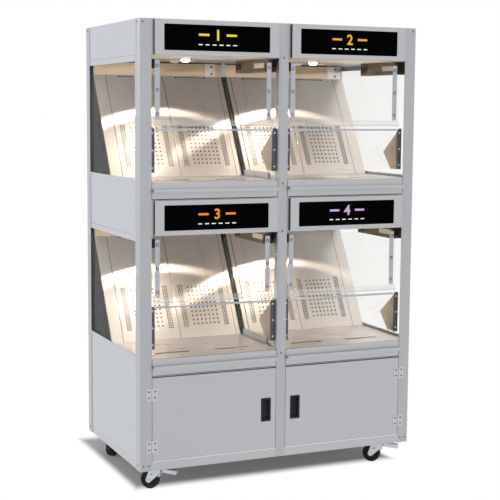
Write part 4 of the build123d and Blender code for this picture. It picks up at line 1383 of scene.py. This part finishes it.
@dataclass(frozen=True)
class CellLining(CellPart):
    """Small fittings in a cell: slope stays, seams, gaskets, strips and rims of painted shade,
    strips of painted highlight, header plate and guard screws.
    """

    header: float = 0.633
    header_face: Point = (0.584, 0.055, 0.0008)
    header_face_drop: float = 0.0315
    header_face_shift: float = 0.0125
    header_gap: Point = (0.562, 0.0062, 0.0012)
    header_gap_drop: float = 0.0035
    pan: Point = (0.534, 0.300, 0.0007)
    pan_depth: float = 0.156
    panels: Pair = (-0.130, 0.130)
    shade_sheet: Point = (0.236, 0.330, 0.0016)
    shade_sheet_along: float = 0.180
    shade_sheet_back: float = 0.0070
    tray: Pair = (0.560, 0.340)
    tray_middle: Pair = (0.303, 0.215)
    slot_depth: float = 0.113
    slot_rim: Pair = (0.1485, 0.0175)
    slot_hole: Pair = (0.1445, 0.0135)
    slot_sunk: float = 0.0003
    rib: Point = (0.0048, 0.60, 0.0009)
    slope: float = 0.4908
    seams: tuple[float, ...] = (-0.2585, 0.0, 0.2585)
    seam: Pair = (0.0016, 0.0004)
    seam_edge: Pair = (0.0022, 0.0016)
    seam_edge_shift: float = 0.0019
    gasket: Pair = (0.0086, 0.0064)
    gasket_x: float = 0.0072
    stay_along: float = 0.484
    stay_length: float = 0.135
    stay_radius: float = 0.0012
    stay_screw: Pair = (0.0046, 0.0022)
    left_plate: Pair = (-0.064, 0.048)
    right_plate: Pair = (0.5555, 0.068)
    plate_height: float = 0.056
    plate_thickness: float = 0.0015
    plate_drop: float = 0.033
    plate_screw_place: Pair = (0.006, 0.016)
    plate_screw: Pair = (0.0050, 0.0018)
    guard_rises: tuple[float, ...] = (0.055, 0.122, 0.190)
    guard_screw_place: Pair = (0.2605, 0.017)
    guard_screw: Pair = (0.0046, 0.0022)
    guard_trim: Point = (0.493, 0.0078, 0.0072)
    guard_trim_place: Pair = (0.0246, 0.203)

    def build(self) -> None:
        """Fix the sheets, the seams, the tray's slots, the stays, the plate and the screws."""
        self.sheets()
        self.joints()
        self.slots()
        self.stays()
        self.plate()
        self.guard_screws()

    def sheets(self) -> None:
        """The warm-toned sheet over the header, a ceiling sheet whose bright warm colour is painted
        lamplight, and a black sheet of painted shade behind the slope.
        """
        x = self.across(self.header_face_shift * self.side.value)
        spot = Wall.FRONT.at(x, self.header, self.ceiling - self.header_face_drop)
        face = slab(self.header_face, 0.001, 0.0003)
        self.add("header_face", face, [spot], STEEL_WARM, "stainless")
        # The ceiling sheet's bright warm colour is painted lamplight and bounce from the tray.
        spot = Wall.DOWN.at(self.across(), self.pan_depth, self.ceiling)
        self.add("ceiling_pan", slab(self.pan, 0.004, 0.0003), [spot], STEEL_CEILING_PAINTED_LIGHT, "stainless")
        # A black sheet behind each slope panel: painted shade seen through the holes.
        shade_sheet = slab(self.shade_sheet, 0.004, 0.0004)
        spots = [self.on_slope(x, self.shade_sheet_along, -self.shade_sheet_back) for x in self.panels]
        self.add("slope_felt", shade_sheet, spots, SHADE_SHEET, "black_plastic")

    def joints(self) -> None:
        """Joint lines up the slope, the gaskets beside the divider glass, and a black strip of
        painted shade along the header's top.
        """
        middle, short = self.slope / 2, self.slope - 0.006
        line = strip((self.seam[0], self.slope - 0.004, self.seam[1]), 0.0001)
        spots = [self.on_slope(x, middle, 0.0001) for x in self.seams]
        self.add("slope_joints", line, spots, GASKET_AND_SHADE, "black_plastic")
        # Bright strips beside the joints: painted highlights along the sheets' edges.
        edge = strip((self.seam_edge[0], short, self.seam_edge[1]), 0.0006)
        spots = [self.on_slope(x + self.seam_edge_shift, middle) for x in self.seams[:-1]]
        self.add("slope_edges", edge, spots, STEEL_HIGHLIGHT, "stainless")
        gasket = strip((self.gasket[0], short, self.gasket[1]), 0.0012)
        spot = self.on_slope((self.gasket_x - PLACES.centre) * self.side.value, middle)
        self.add("divider_gasket", gasket, [spot], GASKET_AND_SHADE, "black_plastic")
        # A black strip along the header's top: painted shade in the gap under the ceiling.
        spot = Wall.FRONT.at(self.across(), self.header, self.ceiling - self.header_gap_drop)
        gap = slab(self.header_gap, 0.0005, 0.0002, 3)
        self.add("header_gap", gap, [spot], GASKET_AND_SHADE, "black_plastic")

    def slots(self) -> None:
        """A dark rim of painted shade round each long slot of the tray, and the ribs pressed across
        it, bright with painted highlight.
        """
        middle, depth = self.tray_middle[0] * self.side.value, self.tray_middle[1]
        # The dark rims paint the shade at the slots' edges.
        outer = rounded_outline(*self.slot_rim, 0.0087, 10)
        inner = rounded_outline(*self.slot_hole, 0.0067, 10)
        rim = ring(outer, inner, 0.0009)
        level = self.floor - self.slot_sunk
        spots = [Wall.UP.at(middle + x, self.slot_depth, level) for x in self.panels]
        self.add("tray_slots", rim, spots, GASKET_AND_SHADE, "black_plastic")
        # The ribs' bright finish paints the highlight along the pressed creases.
        spots = []
        for lean in (-1, 1):
            turn = math.atan2(self.tray[0] * lean, self.tray[1])
            spot = Wall.UP.at(middle, depth, self.floor)
            spot[:2, :2] = ((math.cos(turn), math.sin(turn)), (-math.sin(turn), math.cos(turn)))
            spots.append(spot)
        self.add("tray_ribs", strip(self.rib, 0.0008), spots, STEEL_HIGHLIGHT, "stainless")

    def stays(self) -> None:
        """Near the top of each slope panel, a thin bar between two screws."""
        radius, half = self.stay_radius, self.stay_length / 2
        bar = slab((2 * half, 2 * radius, 2 * radius), radius * 0.9, radius * 0.6)
        spots = [self.on_slope(x, self.stay_along) for x in self.panels]
        self.add("slope_stays", bar, spots, BLACK_STEEL, "black_steel")
        ends = [x + end * half for x in self.panels for end in (-1, 1)]
        spots = [self.on_slope(x, self.stay_along) for x in ends]
        self.add("slope_screws", screw_head(*self.stay_screw), spots, BLACK_STEEL, "screw_steel")

    def plate(self) -> None:
        """On the header beside the right wall, an upright plate with two screws."""
        x, wide = self.right_plate if self.side is Side.RIGHT else self.left_plate
        z = self.ceiling - self.plate_drop
        plate = slab((wide, self.plate_height, self.plate_thickness), 0.003, 0.0005)
        spot = Wall.FRONT.at(x, self.header, z)
        self.add("header_plate", plate, [spot], STEEL_LINING_PAINTED_LIGHT, "stainless")
        shift_x, rise = self.plate_screw_place
        depth = self.header - self.plate_thickness
        spots = [Wall.FRONT.at(x + shift_x, depth, z + way * rise) for way in (-1, 1)]
        self.add("header_screws", screw_head(*self.plate_screw), spots, BLACK_STEEL, "screw_steel")

    def guard_screws(self) -> None:
        """Three screws down each strip that holds the low guard, and the guard's edge trim."""
        out, depth = self.guard_screw_place
        spots = [
            Wall.FRONT.at(self.across(way * out), depth, self.floor + rise)
            for way in (-1, 1)
            for rise in self.guard_rises
        ]
        self.add("guard_screws", rivet_head(*self.guard_screw), spots, RIVET, "screw_steel")
        depth, rise = self.guard_trim_place
        spot = Wall.FRONT.at(self.across(), depth, self.floor + rise)
        trim = slab(self.guard_trim, 0.0012, 0.0012)
        self.add("guard_trim", trim, [spot], STEEL_FLAT, "stainless")


@dataclass(frozen=True)
class FlapTrim(CellPart):
    """What shows on a clear flap: rivets, a painted reflection on the bend of its lip and a painted
    highlight along its polished edge.
    """

    half: float = 0.2575
    bend: Pair = (0.027, 0.246)
    lip: Pair = (0.015, 0.270)
    film: Pair = (0.0005, 0.0002)
    edge: Pair = (0.0034, 0.0009)
    edge_up: float = 0.004
    flat: Pair = (0.237, 0.025)
    rows: tuple[float, ...] = (0.038, 0.131, 0.224)
    rivet: Pair = (0.0046, 0.0030)
    washer: Pair = (0.0068, 0.0011)

    def build(self) -> None:
        """Set the rivets on the flats, and lay a painted reflection over the lip and a painted
        highlight on its lower edge.
        """
        body, middle = f"flap_{self.key}", self.across()
        out, depth = self.flat
        spots = [
            Wall.FRONT.at(middle + way * out, depth, self.ceiling - drop)
            for way in (-1, 1)
            for drop in self.rows
        ]
        self.add("flap_rivets", rivet_head(*self.rivet), spots, RIVET, "screw_steel", body)
        washer = rivet_head(*self.washer)
        self.add("flap_washers", washer, spots, BLACK_STEEL, "black_steel", body)
        top = np.array((PLACES.front + self.bend[0], self.ceiling - self.bend[1]))
        foot = np.array((PLACES.front + self.lip[0], self.ceiling - self.lip[1]))
        length = float(np.linalg.norm(foot - top))
        run = (foot - top) / length
        out = np.array((run[1], -run[0]))
        centre = (top + foot) / 2 + self.film[1] * out
        size = (2 * self.half - 0.004, length - 0.002, self.film[0])
        film, spot = slab(size, 0.004, self.film[1]), facing((0.0, *out), (middle, *centre))
        self.add("flap_lip", film, [spot], LIP_SHEEN, "clear_plastic", body)
        band = slab((2 * self.half - 0.006, *self.edge), 0.0008, 0.0003)
        spot = facing((0.0, *out), (middle, *(foot - self.edge_up * run)))
        self.add("flap_edge", band, [spot], EDGE_HIGHLIGHT, "clear_plastic", body)


@dataclass(frozen=True)
class DoorPull(Part):
    """A recessed pull: a rounded rim round a dished cup."""

    x: float = 0.066
    z: float = 0.303
    width: float = 0.044
    height: float = 0.098
    rim: float = 0.002
    depth: float = 0.014
    border: float = 0.0078

    def build(self) -> None:
        """Stack rounded outlines from the cup's back, round the rim and down into the cup."""
        edge, rim, depth = self.border, self.rim, self.depth
        steps = (
            (edge * 0.6, 0.0024, -depth),
            (edge * 0.5, 0.0026, 0.0),
            (0.0, 0.0030, 0.0),
            (0.0, 0.0030, rim * 0.45),
            (0.0006, 0.0027, rim * 0.85),
            (0.0016, 0.0022, rim),
            (edge - 0.0010, 0.0018, rim),
            (edge, 0.0016, rim * 0.6),
            (edge + 0.0004, 0.0015, 0.0),
            (edge + 0.0010, 0.0014, -depth * 0.62),
            (edge + 0.0024, 0.0012, -depth * 0.85),
            (edge + 0.0050, 0.0010, -depth * 0.93),
        )
        layers = [
            (rounded_outline(self.width - 2 * inset, self.height - 2 * inset, corner, 8), level)
            for inset, corner, level in steps
        ]
        cup, spot = stacked_loops(layers), Wall.FRONT.at(self.side.value * self.x, 0.0, self.z)
        body, node = f"door_{self.key}", (f"door_pull_{self.key}",)
        self.add("door_pull_cup", cup, [spot], CHARCOAL, "charcoal_plastic", body, node)


@dataclass(frozen=True)
class DoorTrim(Part):
    """Round a base door: its hinges' screws, black strips of painted shade in its side gaps and a
    bright strip of painted highlight on the rail below it.
    """

    hinge_x: float = 0.560
    screw_out: float = 0.01315
    screw_rise: float = 0.0125
    leaf: float = 0.0015
    hinges: Pair = (0.198, 0.408)
    screw: Pair = (0.0039, 0.0021)
    heights: Pair = (0.139, 0.474)
    gaps: Pair = (0.02175, 0.55925)
    gap_shade: Point = (0.0011, 0.333, 0.0010)
    gap_shade_depth: float = 0.0012
    sill_highlight: Point = (0.537, 0.0034, 0.0015)
    sill_depth: float = 0.0010
    sill_drop: float = 0.0024

    def build(self) -> None:
        """Set the screws on both leaves of each hinge, then the painted-shade strips and the
        painted-highlight strip.
        """
        way = self.side.value
        head = screw_head(*self.screw)
        rises = (-self.screw_rise, self.screw_rise)
        for name, out, body in (
            ("post", self.screw_out, ROOT),
            ("door", -self.screw_out, f"door_{self.key}"),
        ):
            x = way * (self.hinge_x + out)
            spots = [Wall.FRONT.at(x, -self.leaf, z + rise) for z in self.hinges for rise in rises]
            self.add(f"hinge_screws_{name}", head, spots, SCREW, "screw_steel", body)
        # Black strips in the door's side gaps: painted shade.
        gap_shade, middle = slab(self.gap_shade, 0.0002, 0.0001, 3), sum(self.heights) / 2
        spots = [Wall.FRONT.at(way * x, self.gap_shade_depth, middle) for x in self.gaps]
        self.add("door_seals", gap_shade, spots, GASKET_AND_SHADE, "black_plastic")
        # A bright strip along the rail under the door: painted highlight.
        level = self.heights[0] - self.sill_drop
        spot = Wall.FRONT.at(way * PLACES.centre, self.sill_depth, level)
        sill_highlight = slab(self.sill_highlight, 0.0006, 0.0004, 3)
        self.add("door_sill", sill_highlight, [spot], STEEL_HIGHLIGHT, "stainless")


@dataclass(frozen=True)
class Caster(Part):
    """A swivel caster's wheel: a grooved tyre on a dished centre."""

    end: End
    radius: float = 0.038
    half: float = 0.016
    seat: float = 0.0275
    shoulder: float = 0.0062
    skin: float = 0.0002
    groove: float = 0.0009
    hub: float = 0.012
    hub_half: float = 0.019
    hub_edge: float = 0.0008
    bore: float = 0.00405

    @property
    def key(self) -> str:
        """The caster's own name."""
        return f"{self.end.value}_{self.side.name.lower()}"

    def both_ways(self, half_profile: Sequence[Pair]) -> np.ndarray:
        """A closed profile of radius and place, from its half at negative places mirrored."""
        half = np.array(half_profile)
        return np.concatenate((half, half[::-1] * (1, -1), half[:1]))

    def tread(self) -> np.ndarray:
        """The tyre's profile: a round shoulder, a groove and the crown's raised middle."""
        crown, half, shoulder = self.radius - self.skin, self.half, self.shoulder
        side = [(self.seat, -half + 0.0018), (0.0300, -half + self.skin), (0.0322, -half)]
        bend = arc((self.radius - shoulder, -half + shoulder), shoulder, -80.0, -15.0)
        top = [
            (crown, -0.0062),
            (crown, -0.0052),
            (crown - self.groove, -0.0046),
            (crown - self.groove, -0.0036),
            (self.radius, -0.0030),
        ]
        return self.both_ways([*side, *bend.tolist(), *top])

    def dish(self) -> np.ndarray:
        """The centre's profile: a hub that stands proud of a thinner dish."""
        hub, out, edge = self.hub, self.hub_half, self.hub_edge
        boss = [(self.bore, -out), (hub - edge, -out), (hub, -out + edge), (hub + 0.0006, -0.0125)]
        web = [(0.0150, -0.0108), (0.0240, -0.0108), (0.0262, -0.0128), (0.0277, -0.0142)]
        return self.both_ways([*boss, *web])

    def build(self) -> None:
        """Turn the tyre and the centre about the wheel's own axle."""
        body = f"wheel_{self.key}"
        spin = next(j for j in frame["joints"] if j["name"] == f"{body}_spin")
        axle = facing(tuple(spin["axis"]), tuple(spin["pos_m"]))
        node = (f"caster_{body}",)
        for name, profile, steps, finish in (
            ("wheel_tyre", self.tread(), 56, RUBBER),
            ("wheel_centre", self.dish(), 48, SWITCH_BLACK),
        ):
            wheel = turned(profile, steps)
            self.add(name, wheel, [axle], finish, "wheel_rubber", body, node)


def main() -> None:
    """Build the studio and the cabinet in order."""
    logging.basicConfig(level=logging.INFO, format="%(message)s")
    bpy.context.scene.view_settings.view_transform = "Standard"
    Studio().build()
    dress_standing()
    dress_moving()
    for side, tier in CELLS:
        for part in (Sign, CellLamp, ControlBox, CellLining, FlapTrim):
            part(side, tier).build()
    for side in Side:
        DoorPull(side).build()
        DoorTrim(side).build()
        for end in End:
            Caster(side, end).build()


if __name__ == "__main__":
    main()
